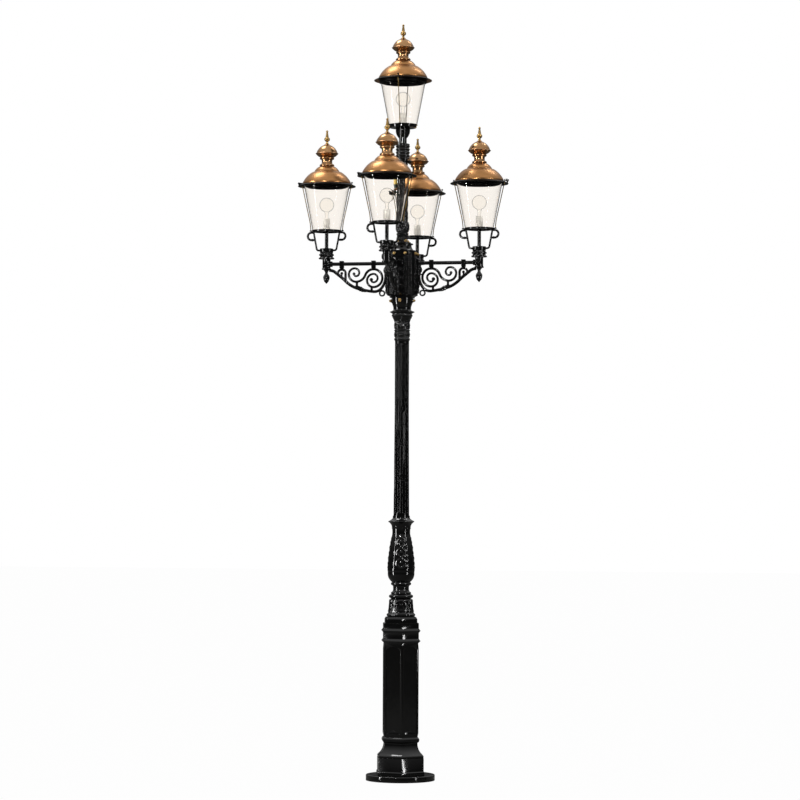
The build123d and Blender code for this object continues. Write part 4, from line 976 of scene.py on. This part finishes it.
@dataclass
class Bracket:
    """Scroll bracket of one arm, along +X from the post; heights are over the arm's axis."""

    bar: float = 17.0
    rim: float = 21.0
    depth: float = 15.0
    wall_low: float = -225.0
    wall_high: float = 83.0
    hub_face: float = 75.0
    wall_face: float = 91.0
    spine_face: float = 112.0
    clip_drop: float = 28.0
    curl_r: float = 26.0
    rim_course: float = 218.5

    def scroll(self, path: Array, width: float, thin: float) -> Sheet:
        """A rounded bar along a flat path that thins towards its end.

        Args:
            path: points (reach, height over the arm).
            width: width of the bar at the start.
            thin: size of the bar at its end, of its size at the start.

        Returns:
            A closed sheet.
        """
        share = np.linspace(0, 1, len(path))
        size = 1 + (thin - 1) * share**1.5
        return sweep(upright_path(path), bar_section(width, self.depth, 2.6, 16), scale=size)

    def sheets(self) -> list[Sheet]:
        """All the surfaces of the bracket, with heights over the arm's axis."""
        top = -(self.clip_drop + self.bar / 2)
        large_x = ARM_REACH - 322
        small_x = ARM_REACH - 105
        curl_z = top - self.curl_r
        lead = np.array([[498.0, -40.5], [493.0, -41.2]])
        foot = np.vstack([lead, arc_chain((487.2, -42.0), 188, ((60, 30.5),), 5)])
        course = np.radians(self.rim_course)
        run = foot[-1] + np.linspace(7, 55.6, 8)[:, None] * np.array([np.cos(course), np.sin(course)])
        bend = arc_chain(
            run[-1], self.rim_course, ((310, 7), (200, -30), (658, -9), (62, -60), (130, -42)), 6
        )
        rim = np.vstack([foot, run, bend[1:]])
        large = arc_chain((large_x, top), 180, ((60, 180), (44, 180), (28, 180), (15, 100)), 5)
        middle = arc_chain(
            (large_x, top), 0, ((60, -70), (66, 70), (50, 90), (40, 90), (31, 90), (22, 90), (14, 100)), 5
        )
        stalk = np.array([[small_x - self.curl_r, curl_z - 44 + t] for t in (0, 11, 22, 33)])
        curl = arc_chain((small_x - self.curl_r, curl_z), 90, ((self.curl_r, -200),), 4)
        small = np.vstack([stalk, curl])
        angle = np.linspace(0, 2 * np.pi, 41)
        ring = np.stack([137 + 16.5 * np.cos(angle), -199 + 16.5 * np.sin(angle)], axis=1)
        parts = [
            self.scroll(rim, self.rim, 0.9),
            self.scroll(large, self.bar, 0.8),
            self.scroll(middle, self.bar, 0.8),
            self.scroll(small, self.bar, 0.9),
            sweep(upright_path(ring), bar_section(11, 14, 2.4, 14)),
            ball(upright_path(large[-1:])[0], 12),
            ball(upright_path(middle[-1:])[0], 10),
            ball((small_x, 0, curl_z), 10),
            self.block(small_x - 4.5, small_x + 4.5, curl_z - 25, curl_z, 6),
            self.leaf(),
        ]
        for x, z in ((208, -174), (309, -140)):
            parts.append(self.block(x - 7, x + 7, z - 17, z + 17, 7.5))
        for x in (small_x, large_x):
            parts.append(self.block(x - 11, x + 11, -self.clip_drop - self.bar, -self.clip_drop, 8.5))
        return parts + self.wall()

    def leaf(self) -> Sheet:
        """Leaf sheath on the rim: a pointed swelling with ribs that run out to its edge.

        Along its length v from 0 to 1 the half height is 15.5 sin(pi v)^0.8 and the half thickness
        10.5 sin(pi v)^0.6, both notched by 0.14 |cos(5 pi v)|.
        """
        v = np.linspace(0.0, 1.0, 40)
        turn = np.radians(26)
        ahead = np.array([np.cos(turn), np.sin(turn)])
        middle = np.array([284.0, -168.0]) + (v[:, None] - 0.5) * 96 * ahead
        lobes = 1 - 0.14 * np.abs(np.cos(5 * np.pi * v))
        angle = np.linspace(0, 2 * np.pi, 24, endpoint=False)
        high = 15.5 * np.sin(np.pi * v) ** 0.8 * lobes
        wide = 10.5 * np.sin(np.pi * v) ** 0.6 * lobes
        ribbed = 1 + 0.1 * np.cos(6 * angle)[None, :]
        up = (high[:, None] * np.cos(angle) * ribbed)[:, :, None] * np.array([-ahead[1], 0, ahead[0]])
        out = (wide[:, None] * np.sin(angle) * ribbed)[:, :, None] * np.array([0, 1, 0])
        return Sheet(upright_path(middle)[:, None, :] + up + out)

    def block(self, x0: float, x1: float, z0: float, z1: float, half: float) -> Sheet:
        """A small rounded block between two reaches and two heights."""
        return prism(np.array([[x0, z0], [x1, z0], [x1, z1], [x0, z1]], float), half, 2)

    def wall(self) -> list[Sheet]:
        """Wall plate, spine with a string of buds, and reeds, with heights over the arm's axis."""
        low, high = self.wall_low, self.wall_high
        hub, face, spine_face = self.hub_face, self.wall_face, self.spine_face
        plate = np.array([[hub, low], [face, low + 9], [face, high], [hub, high]])
        spine = np.array([
            [hub, low], [spine_face, low + 25], [spine_face, low + 250], [face, low + 266], [hub, low + 266],
        ])
        reed = lathe(soften(capped(np.array([[5.5, low + 9], [5.5, low + 259]])), 4), 20)
        parts = [prism(plate, 48, 3), prism(spine, 15, 4)]
        for y in (-41, -28, 28, 41):
            parts.append(reed.moved(face, y, 0))
        for k in range(8):
            lean = 5 if k % 2 else -5
            parts.append(ball((108, lean, low + 44 + 27 * k), 9, 1.5))
            parts.append(ball((92, 3 * lean, low + 44 + 27 * k), 8, 1.3))
            parts.append(ball((92, -3 * lean, low + 57 + 27 * k), 8, 1.3))
        return parts

    def build(self, bench: Bench, side: Side, turn: float) -> None:
        """Make the bracket of one arm."""
        sheets = put_all(self.sheets(), [Place(0, 0, ARM_Z, turn)])
        name = f"arm_bracket_{side.value}"
        bench.piece(f"{name}_scrolls", sheets, [CASTING_PAINT], Slot.CASTING, [name])


@dataclass
class Crossing:
    """Hub and the four arms with their fittings."""

    turns: tuple[tuple[Side, float], ...] = (
        (Side.RIGHT, 0), (Side.BACK, 90), (Side.LEFT, 180), (Side.FRONT, 270),
    )

    def arms(self) -> list[Place]:
        """The turn of each arm about the post."""
        return [turned(turn) for _, turn in self.turns]

    def pendants(self, bench: Bench) -> None:
        """Drops under the arms' heads: a bud in leaves on a thin neck."""
        steps = [(20, 47, 5), (9.5, 24, 0), (26, 24, -4.75)]
        base = ARM_Z - 36 - 95
        profile = capped(soften(moulding(1.5, base, steps), 3))
        drop = lathe(refine(profile, 2), 64, foliage(6, base + 10, base + 60, 2.2, 2))
        sheets = put_all([drop.moved(ARM_REACH, 0, 0)], self.arms())
        bench.piece("arm_pendants_turned", sheets, [CASTING_PAINT], Slot.CASTING, ["arm_pendants"])

    def tubes(self, bench: Bench) -> None:
        """Straight arm tubes from the hub into the heads."""
        path = np.stack([np.linspace(75, 506, 8), np.zeros(8), np.full(8, ARM_Z)], axis=1)
        tube = sweep(path, ring_section(12, 24))
        sheets = put_all([tube], self.arms())
        bench.piece("arm_tubes_painted", sheets, [BAR_PAINT], Slot.CASTING, ["arm_tubes"])

    def corners(self, bench: Bench) -> None:
        """Three upright reeds on each slanted corner of the hub."""
        low, high = 3198.0, 3500.0
        reed = lathe(soften(capped(np.array([[5.5, low], [5.5, high]])), 4), 16)
        corner = [reed.moved(87, y, 0).at(turned(45)) for y in (-12, 0, 12)]
        sheets = put_all(corner, self.arms())
        bench.piece("hub_corner_reeds", sheets, [CASTING_PAINT], Slot.CASTING)

    def build(self, bench: Bench) -> None:
        """Make the hub, the brackets and the fittings."""
        bench.softened("hub", CASTING_PAINT, Slot.CASTING, 3.0)
        self.corners(bench)
        for side, turn in self.turns:
            Bracket().build(bench, side, turn)
        self.tubes(bench)
        bench.softened("bar_clips", CASTING_PAINT, Slot.CASTING, 3.0)
        bench.softened("arm_heads", CASTING_PAINT, Slot.CASTING, 2.5)
        self.pendants(bench)
        bench.softened("brass_cap_nuts", NUT_BRASS, Slot.NUT, 0.8)


@dataclass
class Stem:
    """Ornamental stem over the hub, with its dusk sensor, and the neck under the top lantern."""

    base: float = 3554.0
    neck_z: float = 4118.0
    bore: float = 9.0
    sensor_out: float = 46.0

    def column(self, bench: Bench) -> None:
        """Stem: ringed foot, leafy boss, tapering column in leaves and beads, and a head."""
        steps = [
            (56, 10, 0), (31, 0, 0), (31, 46, 0), (40, 0, 0), (40, 16, 0), (31, 0, 0), (35, 72, 8),
            (29, 376, 0), (34, 10, 0), (34, 34, 0),
        ]
        base = self.base
        profile = capped(soften(moulding(56, base, steps), 5), self.bore)
        ornament = together(
            reeds(12, base + 14, base + 54, 4, 31),
            foliage(6, base + 74, base + 146, 5, 3, FACING),
            foliage(6, base + 150, base + 232, 4, 3, FACING + 30),
            beads(14, base + 240, 4, 34),
            foliage(6, base + 248, base + 330, 4, 3, FACING),
            beads(14, base + 338, 3.6, 32),
            foliage(6, base + 346, base + 420, 4, 3, FACING + 30),
            beads(14, base + 430, 3.4, 31),
            foliage(6, base + 438, base + 508, 4, 3, FACING),
        )
        sheet = lathe(refine(profile, 2.2), 180, ornament)
        bench.piece("stem_cast", [sheet], [STEM_PAINT], Slot.CASTING, ["stem"])

    def neck(self, bench: Bench) -> None:
        """Ridged collar, thin neck with consoles, and the disc under the top lantern."""
        steps = [
            (45, 10, 0), *[(41, 0, 0), (41, 7, 0), (44, 0, 0), (44, 14, 3)] * 4, (45, 0, 0), (45, 10, 0),
            (25.5, 0, 0), (25.5, 107, 0), (91, 0, 0), (91, 16, 0),
        ]
        base = self.neck_z
        profile = capped(soften(moulding(45, base, steps), 3.5), self.bore)
        sheets = [lathe(refine(profile, 4), 96)]
        flange = base + 211
        curve = bow(np.array([46.0, flange]), np.array([25.0, flange - 70]), -10)
        console = prism(np.vstack([curve, [[22, flange - 70], [22, flange]]]), 5, 1.5)
        sheets += put_all([console], [turned(turn) for turn in (0, 90, 180, 270)])
        bench.piece("top_neck_cast", sheets, [STEM_PAINT], Slot.CASTING, ["top_neck"])

    def sensor(self, bench: Bench) -> None:
        """Dusk sensor: a tapered cup on a peg, and an amber dome in it."""
        base = self.base + 372
        cup = soften(capped(np.array([[8, base], [15, base + 26]])), 2)
        t = np.linspace(0, np.pi / 2, 14)
        dome = np.stack([14.4 * np.cos(t) ** 0.8, base + 25 + 37 * np.sin(t)], axis=1)
        dome[-1, 0] = 0
        peg = np.array([[-19.0, 0, base + 13], [-33, 0, base + 13], [-self.sensor_out, 0, base + 13]])
        sheets = [
            lathe(cup, 32).moved(-self.sensor_out, 0, 0),
            lathe(np.vstack([[[0, base + 25]], dome]), 32, skin=1).moved(-self.sensor_out, 0, 0),
            sweep(peg, ring_section(4, 16)),
        ]
        bench.piece("dusk_sensor_eye", sheets, [SENSOR_CUP, SENSOR_AMBER], Slot.SENSOR, ["dusk_sensor"])

    def build(self, bench: Bench) -> None:
        """Make the stem and what stands on it."""
        self.column(bench)
        self.neck(bench)
        self.sensor(bench)
        bench.softened("collar_knobs", STEM_PAINT, Slot.CASTING, 0.6)


@dataclass
class Lantern:
    """One lantern, measured up from the underside of its floor; its rods stand at both ends of X."""

    glass_foot: float = 95.0
    glass_top: float = 153.0
    glass_wall: float = 3.0
    glass_low: float = 6.0
    glass_high: float = 309.0
    seat: float = 315.0
    brim_r: float = 193.0
    brim_bend: float = 166.0
    brim_hole: float = 140.0
    brim_low: float = 299.0
    skirt_r: float = 159.0
    skirt_wall: float = 3.0
    hinge_out: float = 190.0
    hinge_up: float = 8.0
    knuckle_r: float = 6.5
    lid_z: float = 315.4
    crown_z: float = 434.4
    finial_z: float = 586.4
    globe_r: float = 48.0
    globe_wall: float = 1.5
    round_columns: int = 96

    def cup(self) -> list[Sheet]:
        """Reeded cup and the tube that carries the lantern."""
        steps = [
            (51.5, 9, 0), (40, 0, 0), (40, 14, 0), (47, 0, 0), (47, 9, 0), (40, 0, 0), (40, 14, 0),
            (45, 0, 0), (45, 24, 0), (12, 0, 0), (12, 117, 0),
        ]
        profile = capped(soften(moulding(51.5, -187, steps), 3), 9)
        return [lathe(refine(profile, 4), 160, reeds(16, -178, -141, 4, 40))]

    def cage(self) -> list[Sheet]:
        """Ring, two legs in the cup's rim and a loop with a ball outside each leg."""
        ring = soften(np.array([[82, -6], [97, -6], [97, 0], [82, 0], [82, -6.0]]), 2)
        parts = [lathe(ring, 72)]
        foot, knee = np.array([36.0, -129]), np.array([66.0, -129])
        top = np.array([89.5, -3.0])
        leg = refine(soften(np.vstack([foot, knee, top]), 14, points=9), 8)
        rise = (-58.5 + 129) / (-6 + 129)
        at_leg = 66 + 23.5 * rise
        loop = np.vstack([
            [[89.5, -8.5]],
            arc_chain((104, -8.5), 0, ((25, -180),), 4),
            [[at_leg, -58.5]],
        ])
        bar = sweep(upright_path(leg), ring_section(6.5, 14))
        hoop = sweep(upright_path(refine(loop, 5)), ring_section(7.5, 14))
        knob = ball((at_leg + 18, 0, -58.5), 9)
        return parts + put_all([bar, hoop, knob], [turned(0), turned(180)])

    def glass(self) -> list[Sheet]:
        """Tapered glass with its wall."""
        foot, top, wall = self.glass_foot, self.glass_top, self.glass_wall
        low, high = self.glass_low, self.glass_high
        inner_foot = [foot - wall, low]
        profile = np.array([inner_foot, [foot, low], [top, high], [top - wall, high], inner_foot])
        return [lathe(refine(soften(profile, 0.8), 40), 128)]

    def knuckle(self, angle: Array, height: float) -> Array:
        """Points of the hinge knuckle's outline at some angles, about an axis at a height."""
        r = self.knuckle_r
        return np.stack([self.hinge_out + r * np.cos(angle), height + r * np.sin(angle)], axis=1)

    def brim(self, skirt: float) -> list[Sheet]:
        """Flat ring over the glass that droops to its edge, a skirt round the glass and the hinge knuckle.

        Args:
            skirt: height of the skirt.

        Returns:
            The brim's sheets; its drooping underside is skin 1.
        """
        edge, bend, hole, low = self.brim_r, self.brim_bend, self.brim_hole, self.brim_low
        seat, roof = self.seat, self.glass_high
        out, within, hem = self.skirt_r, self.skirt_r - self.skirt_wall, roof - skirt
        upper = np.array([
            [edge, low], [edge + 0.6, low + 1.5], [edge, low + 3], [180, 308.4], [bend, seat], [hole, seat],
        ])
        inner = np.array([[hole, seat], [hole, roof], [within, roof], [within, hem], [out, hem]])
        wall = np.array([[out, hem], [out, roof], [bend, roof]])
        under = np.array([[bend, roof], [180, 303.9], [edge, low]])
        eye = self.knuckle(np.linspace(0, 2 * np.pi, 25)[:-1], seat + self.hinge_up)
        arm = np.array([[183.5, 320], [183.5, 305.5], [190, 303], [196, 320.0]])
        rings = [lathe(line, self.round_columns) for line in (soften(upper, 1.2), inner, wall)]
        rings.append(lathe(under, self.round_columns, skin=1))
        return rings + [prism(outline, 9.5, 0.8).at(turned(180)) for outline in (eye, arm)]

    def rods(self) -> list[Sheet]:
        """Two thin rods that clamp the glass between floor and brim, with ball ends."""
        path = refine(soften(np.array([[107.5, 0], [113.5, 57], [172, 323.0]]), 18, least=3, points=7), 30)
        rod = sweep(upright_path(path), ring_section(3, 12))
        end = ball((172, 0, 323), 6, skin=1)
        return put_all([rod, end], [turned(0), turned(180)])

    def dome(self) -> list[Sheet]:
        """Spun lid: a thin shell, black inside as painted shade, and its two lugs beside the hinge knuckle.
        """
        steps = [(162, 8, 0), (100, 70, 7), (85, 5, 0), (49, 36, 4.5)]
        outside = soften(moulding(162, self.lid_z, steps), 1.4)
        shell = [(160, 6, 0), (98, 70, 7), (83, 5, 0), (47, 36, 4.5)]
        inside = soften(moulding(160, self.lid_z, shell), 1.4)
        top = outside[-1, 1]
        shown = np.vstack([outside, [[30, top]]])
        # Inside of the shell: black, as painted shade where the lid's inside lies in shade.
        painted_shade_inside = np.vstack([[[30, top], [30, top - 2]], inside[::-1], outside[:1]])
        parts = [
            lathe(refine(shown, 12), self.round_columns),
            lathe(refine(painted_shade_inside, 12), self.round_columns, skin=2),
        ]
        eye = self.knuckle(np.linspace(-np.pi / 2, np.pi / 2, 13), self.lid_z + self.hinge_up)
        lug = prism(np.vstack([[[160, self.lid_z + 1]], eye, [[160, self.lid_z + 8]]]), 3, 0.8, 1)
        return parts + [lug.at(turned(180)).moved(0, across, 0) for across in (-12.9, 12.9)]

    def crown(self) -> list[Sheet]:
        """Crown: bead, neck, ring, bowl, lip and onion."""
        steps = [
            (44, 15, 5), (38, 0, 0), (38, 32, -3), (44, 0, 0), (44, 15, 4), (74, 22, 3), (77, 3, 0),
            (71, 3, 0), (22, 54, 9), (13, 8, 0),
        ]
        profile = capped(soften(moulding(44, self.crown_z, steps), 1.6))
        return [lathe(refine(profile, 8), self.round_columns)]

    def finial(self) -> list[Sheet]:
        """Turned finial with a bead, a spike and a ball."""
        steps = [(8, 16, -2), (11, 28, 9), (5, 40, 0)]
        outside = soften(moulding(12, self.finial_z, steps), 2)
        return [lathe(refine(capped(outside), 4), 48), ball((0, 0, outside[-1, 1]), 8)]

    def holder(self) -> list[Sheet]:
        """Ribbed holder on a foot, hollow where the bulb's cap goes in."""
        steps = [(30, 6, 0), (22, 0, 0), (22, 72, 0), (13.2, 0, 0), (13.2, -28, 0)]
        outside = soften(moulding(30, 6, steps), 2)
        profile = np.vstack([[[9, 6]], outside, [[9, 56], [9, 6]]])
        return [lathe(refine(profile, 5), 96, reeds(24, 14, 62, 1.2, 22))]

    def bulb(self) -> list[Sheet]:
        """Globe bulb: pressed cap, tapered neck and a thin globe."""
        cap = soften(np.array([[0, 56], [13, 56], [13, 84.0]]), 3)
        neck = bow(np.array([13.0, 84]), np.array([17.0, 131]), -4)
        throat, wall = neck[-1, 0], self.globe_wall
        middle = neck[-1, 1] + (self.globe_r**2 - throat**2) ** 0.5

        def half_round(radius: float, opening: float) -> Array:
            """Points of a globe's outline, from its opening up to the axis."""
            t = np.linspace(-np.arccos(opening / radius), np.pi / 2, 32)
            line = np.stack([radius * np.cos(t), middle + radius * np.sin(t)], axis=1)
            line[-1, 0] = 0
            return line

        globe = half_round(self.globe_r, throat)
        inner = half_round(self.globe_r - wall, throat - wall)[::-1]
        lining = neck[::-1] - np.array([wall, 0])
        return [
            lathe(np.vstack([cap, neck[:1]]), 40),
            lathe(np.vstack([neck, globe[1:], inner[1:], lining, neck[:1]]), 64, skin=1),
        ]


@dataclass
class Lanterns:
    """The five lanterns in their places."""

    side_z: float = 3646.0
    top_z: float = 4345.0
    side_skirt: float = 8.0
    top_skirt: float = 24.0

    def places(self) -> dict[Side, Place]:
        """Foot and turn of each lantern."""
        return {
            Side.RIGHT: Place(ARM_REACH, 0, self.side_z, 180),
            Side.BACK: Place(0, ARM_REACH, self.side_z, 0),
            Side.LEFT: Place(-ARM_REACH, 0, self.side_z, 0),
            Side.FRONT: Place(0, -ARM_REACH, self.side_z, 0),
            Side.TOP: Place(0, 0, self.top_z, -90),
        }

    def build(self, bench: Bench) -> None:
        """Make every lantern's own pieces, then the pieces that the lanterns share."""
        shape = Lantern()
        places = self.places()
        for side, place in places.items():
            key = side.value
            lid = f"lid_{key}"
            top = side is Side.TOP
            under = COPPER_SPUN if top else BRIM_PAINT_AND_LID_SHADE
            brim = shape.brim(self.top_skirt if top else self.side_skirt)
            rows = [
                ("lantern_brim", "ring", brim, [BRIM_PAINT_AND_LID_SHADE, under], Slot.CASTING, POST),
                ("lantern_glass", "blown", shape.glass(), [LANTERN_GLASS], Slot.GLASS, POST),
                # The lid's inside, skin 2, is black: painted shade.
                ("lid_dome", "spun", shape.dome(), [COPPER_SPUN, BAR_PAINT, BRIM_PAINT_AND_LID_SHADE], Slot.COPPER, lid),
                ("lid_crown", "spun", shape.crown(), [COPPER_BRIGHT], Slot.COPPER, lid),
                ("lid_finial", "turned", shape.finial(), [FINIAL_BRASS], Slot.NUT, lid),
            ]
            if not top:
                rows.append(("lantern_cage", "bars", shape.cage(), [BAR_PAINT], Slot.CASTING, POST))
            for kind, make, sheets, finishes, slot, body in rows:
                node = f"{kind}_{key}"
                bench.piece(f"{node}_{make}", put_all(sheets, [place]), finishes, slot, [node], body)
        every = list(places.values())
        sides = [place for side, place in places.items() if side is not Side.TOP]
        shared = [
            ("lantern_cups", "cast", shape.cup(), sides, [CASTING_PAINT], Slot.CASTING),
            ("glass_rods", "bent", shape.rods(), every, [ROD_BRASS, BAR_PAINT], Slot.BRASS),
            ("lampholders", "glazed", shape.holder(), every, [HOLDER_GLAZE], Slot.HOLDER),
            ("bulbs", "blown", shape.bulb(), every, [CAP_BRASS, BULB_GLASS], Slot.BULB),
        ]
        for node, make, sheets, where, finishes, slot in shared:
            bench.piece(f"{node}_{make}", put_all(sheets, where), finishes, slot, [node])
        bench.softened("lantern_floors", CASTING_PAINT, Slot.CASTING, 1.2)
        bench.redress("lid_hinge_pins", PIN_STEEL)


@dataclass
class Studio:
    """Plain white studio: floor, soft lamps, world and the camera at the photograph's viewing angle."""

    azimuth: float = FACING
    distance: float = 18.65
    eye: float = 1.81
    tilt: float = 2.16
    aim: float = 0.037
    roll: float = 0.24
    lens: float = 126.4
    sensor: float = 36.0
    ambient: float = 0.5
    mirrored_low: float = 0.05
    floor_white: float = 0.985
    floor_half: float = 60.0
    lamps_aim: float = 2.7

    def seen(self, tree: bpy.types.NodeTree, ray: bpy.types.Node) -> bpy.types.NodeSocket:
        """Socket that is 1 for what the camera sees, straight or through glass, and else 0.

        A ray that meets a glossy surface before it passes the glass is a reflection and counts as 0.
        """
        made = add_node(
            tree, "ShaderNodeMath", {1: 0.5}, {0: ray.outputs["Glossy Depth"]}, operation="LESS_THAN"
        )
        for kind, operation in (("Is Transmission Ray", "MULTIPLY"), ("Is Camera Ray", "MAXIMUM")):
            sockets = {0: ray.outputs[kind], 1: made.outputs["Value"]}
            made = add_node(tree, "ShaderNodeMath", links=sockets, operation=operation)
        return made.outputs["Value"]

    def world(self) -> None:
        """White to look at, plain light all round, and reflections white overhead and dim low down.

        The reflections' strength rises with the upward share of the ray's direction.
        """
        world = bpy.data.worlds.new("studio")
        world.use_nodes = True
        tree = world.node_tree
        tree.nodes.clear()
        ray = add_node(tree, "ShaderNodeLightPath")
        place = add_node(tree, "ShaderNodeTexCoord")
        upward = add_node(tree, "ShaderNodeSeparateXYZ", links={0: place.outputs["Generated"]})
        mirrored = add_node(
            tree,
            "ShaderNodeMapRange",
            {"From Min": 0.1, "From Max": 0.8, "To Min": self.mirrored_low, "To Max": 1.0},
            {"Value": upward.outputs["Z"]},
        )
        lit = add_node(
            tree,
            "ShaderNodeMix",
            {"A": self.ambient},
            {"Factor": ray.outputs["Is Glossy Ray"], "B": mirrored.outputs["Result"]},
            data_type="FLOAT",
        )
        level = add_node(
            tree,
            "ShaderNodeMix",
            {"B": 1.0},
            {"Factor": self.seen(tree, ray), "A": lit.outputs["Result"]},
            data_type="FLOAT",
        )
        sky = add_node(
            tree, "ShaderNodeBackground", {"Color": linear("#ffffff")}, {"Strength": level.outputs["Result"]}
        )
        add_node(tree, "ShaderNodeOutputWorld", links={"Surface": sky.outputs["Background"]})
        bpy.context.scene.world = world

    def floor(self) -> None:
        """Pale floor that is white to the camera and keeps a faint shadow."""
        half = self.floor_half
        mesh = bpy.data.meshes.new("floor")
        corners = np.array([[-half, -half, 0], [half, -half, 0], [half, half, 0], [-half, half, 0]])
        mesh.from_pydata(corners.tolist(), [], [[0, 1, 2, 3]])
        paint = bpy.data.materials.new("pale_floor")
        paint.use_nodes = True
        tree = paint.node_tree
        tree.nodes.clear()
        ray = add_node(tree, "ShaderNodeLightPath")
        share = add_node(
            tree,
            "ShaderNodeMath",
            {1: self.floor_white},
            {0: self.seen(tree, ray)},
            operation="MULTIPLY",
        )
        matt = add_node(tree, "ShaderNodeBsdfDiffuse", {"Color": linear("#6e6e6c")})
        white = add_node(tree, "ShaderNodeEmission", {"Color": linear("#ffffff"), "Strength": 1.0})
        mixed = add_node(
            tree,
            "ShaderNodeMixShader",
            links={0: share.outputs["Value"], 1: matt.outputs["BSDF"], 2: white.outputs["Emission"]},
        )
        add_node(tree, "ShaderNodeOutputMaterial", links={"Surface": mixed.outputs["Shader"]})
        mesh.materials.append(paint)
        plane = bpy.data.objects.new("floor", mesh)
        bpy.context.scene.collection.objects.link(plane)

    def lamp(
        self, name: str, around: float, away: float, height: float, wide: float, tall: float, watts: float
    ) -> None:
        """One soft box that looks at the post.

        Args:
            name: name of the lamp.
            around: angle from the camera's side, in degrees; positive is to the right.
            away: distance from the post in metres.
            height: height in metres.
            wide: width in metres.
            tall: height of the box in metres.
            watts: power.
        """
        data = bpy.data.lights.new(name, "AREA")
        data.shape = "RECTANGLE"
        data.size = wide
        data.size_y = tall
        data.energy = watts
        angle = np.radians(self.azimuth + around)
        place = Vector((float(np.sin(angle)) * away, -float(np.cos(angle)) * away, height))
        made = bpy.data.objects.new(name, data)
        made.location = place
        made.rotation_mode = "QUATERNION"
        made.rotation_quaternion = (Vector((0, 0, self.lamps_aim)) - place).to_track_quat("-Z", "Y")
        bpy.context.scene.collection.objects.link(made)

    def camera(self) -> None:
        """Camera at eye height, turned to the photograph's viewing angle."""
        data = bpy.data.cameras.new("camera")
        data.lens = self.lens
        data.sensor_width = self.sensor
        data.clip_end = 200
        made = bpy.data.objects.new("camera", data)
        angle = np.radians(self.azimuth)
        away = self.distance
        place = Vector((float(np.sin(angle)) * away, -float(np.cos(angle)) * away, self.eye))
        turn = (
            Matrix.Rotation(np.radians(self.azimuth + self.aim), 4, "Z")
            @ Matrix.Rotation(np.radians(90 + self.tilt), 4, "X")
            @ Matrix.Rotation(np.radians(self.roll), 4, "Z")
        )
        made.matrix_world = Matrix.Translation(place) @ turn
        bpy.context.scene.collection.objects.link(made)
        bpy.context.scene.camera = made

    def build(self) -> None:
        """Set up the light, the floor and the camera."""
        bpy.context.scene.view_settings.view_transform = "Standard"
        self.world()
        self.floor()
        self.lamp("strip_left", -72, 7.0, 3.0, 0.4, 6.0, 400)
        self.lamp("strip_right", 54, 7.0, 3.0, 0.22, 6.0, 180)
        self.lamp("spark_front", -14, 9.0, 5.5, 0.5, 0.5, 200)
        self.lamp("high_left", -118, 4.0, 12.0, 2.6, 3.0, 320)
        self.lamp("high_right", 130, 6.0, 11.4, 0.5, 3.0, 90)
        self.camera()


def main() -> None:
    """Build the lamp post's pieces in order, then the studio."""
    logging.basicConfig(level=logging.INFO, format="%(name)s: %(message)s")
    bench = Bench()
    Stand().build(bench)
    Column().build(bench)
    Crossing().build(bench)
    Stem().build(bench)
    Lanterns().build(bench)
    Studio().build()
    LOG.info("boxes written")


if __name__ == "__main__":
    main()
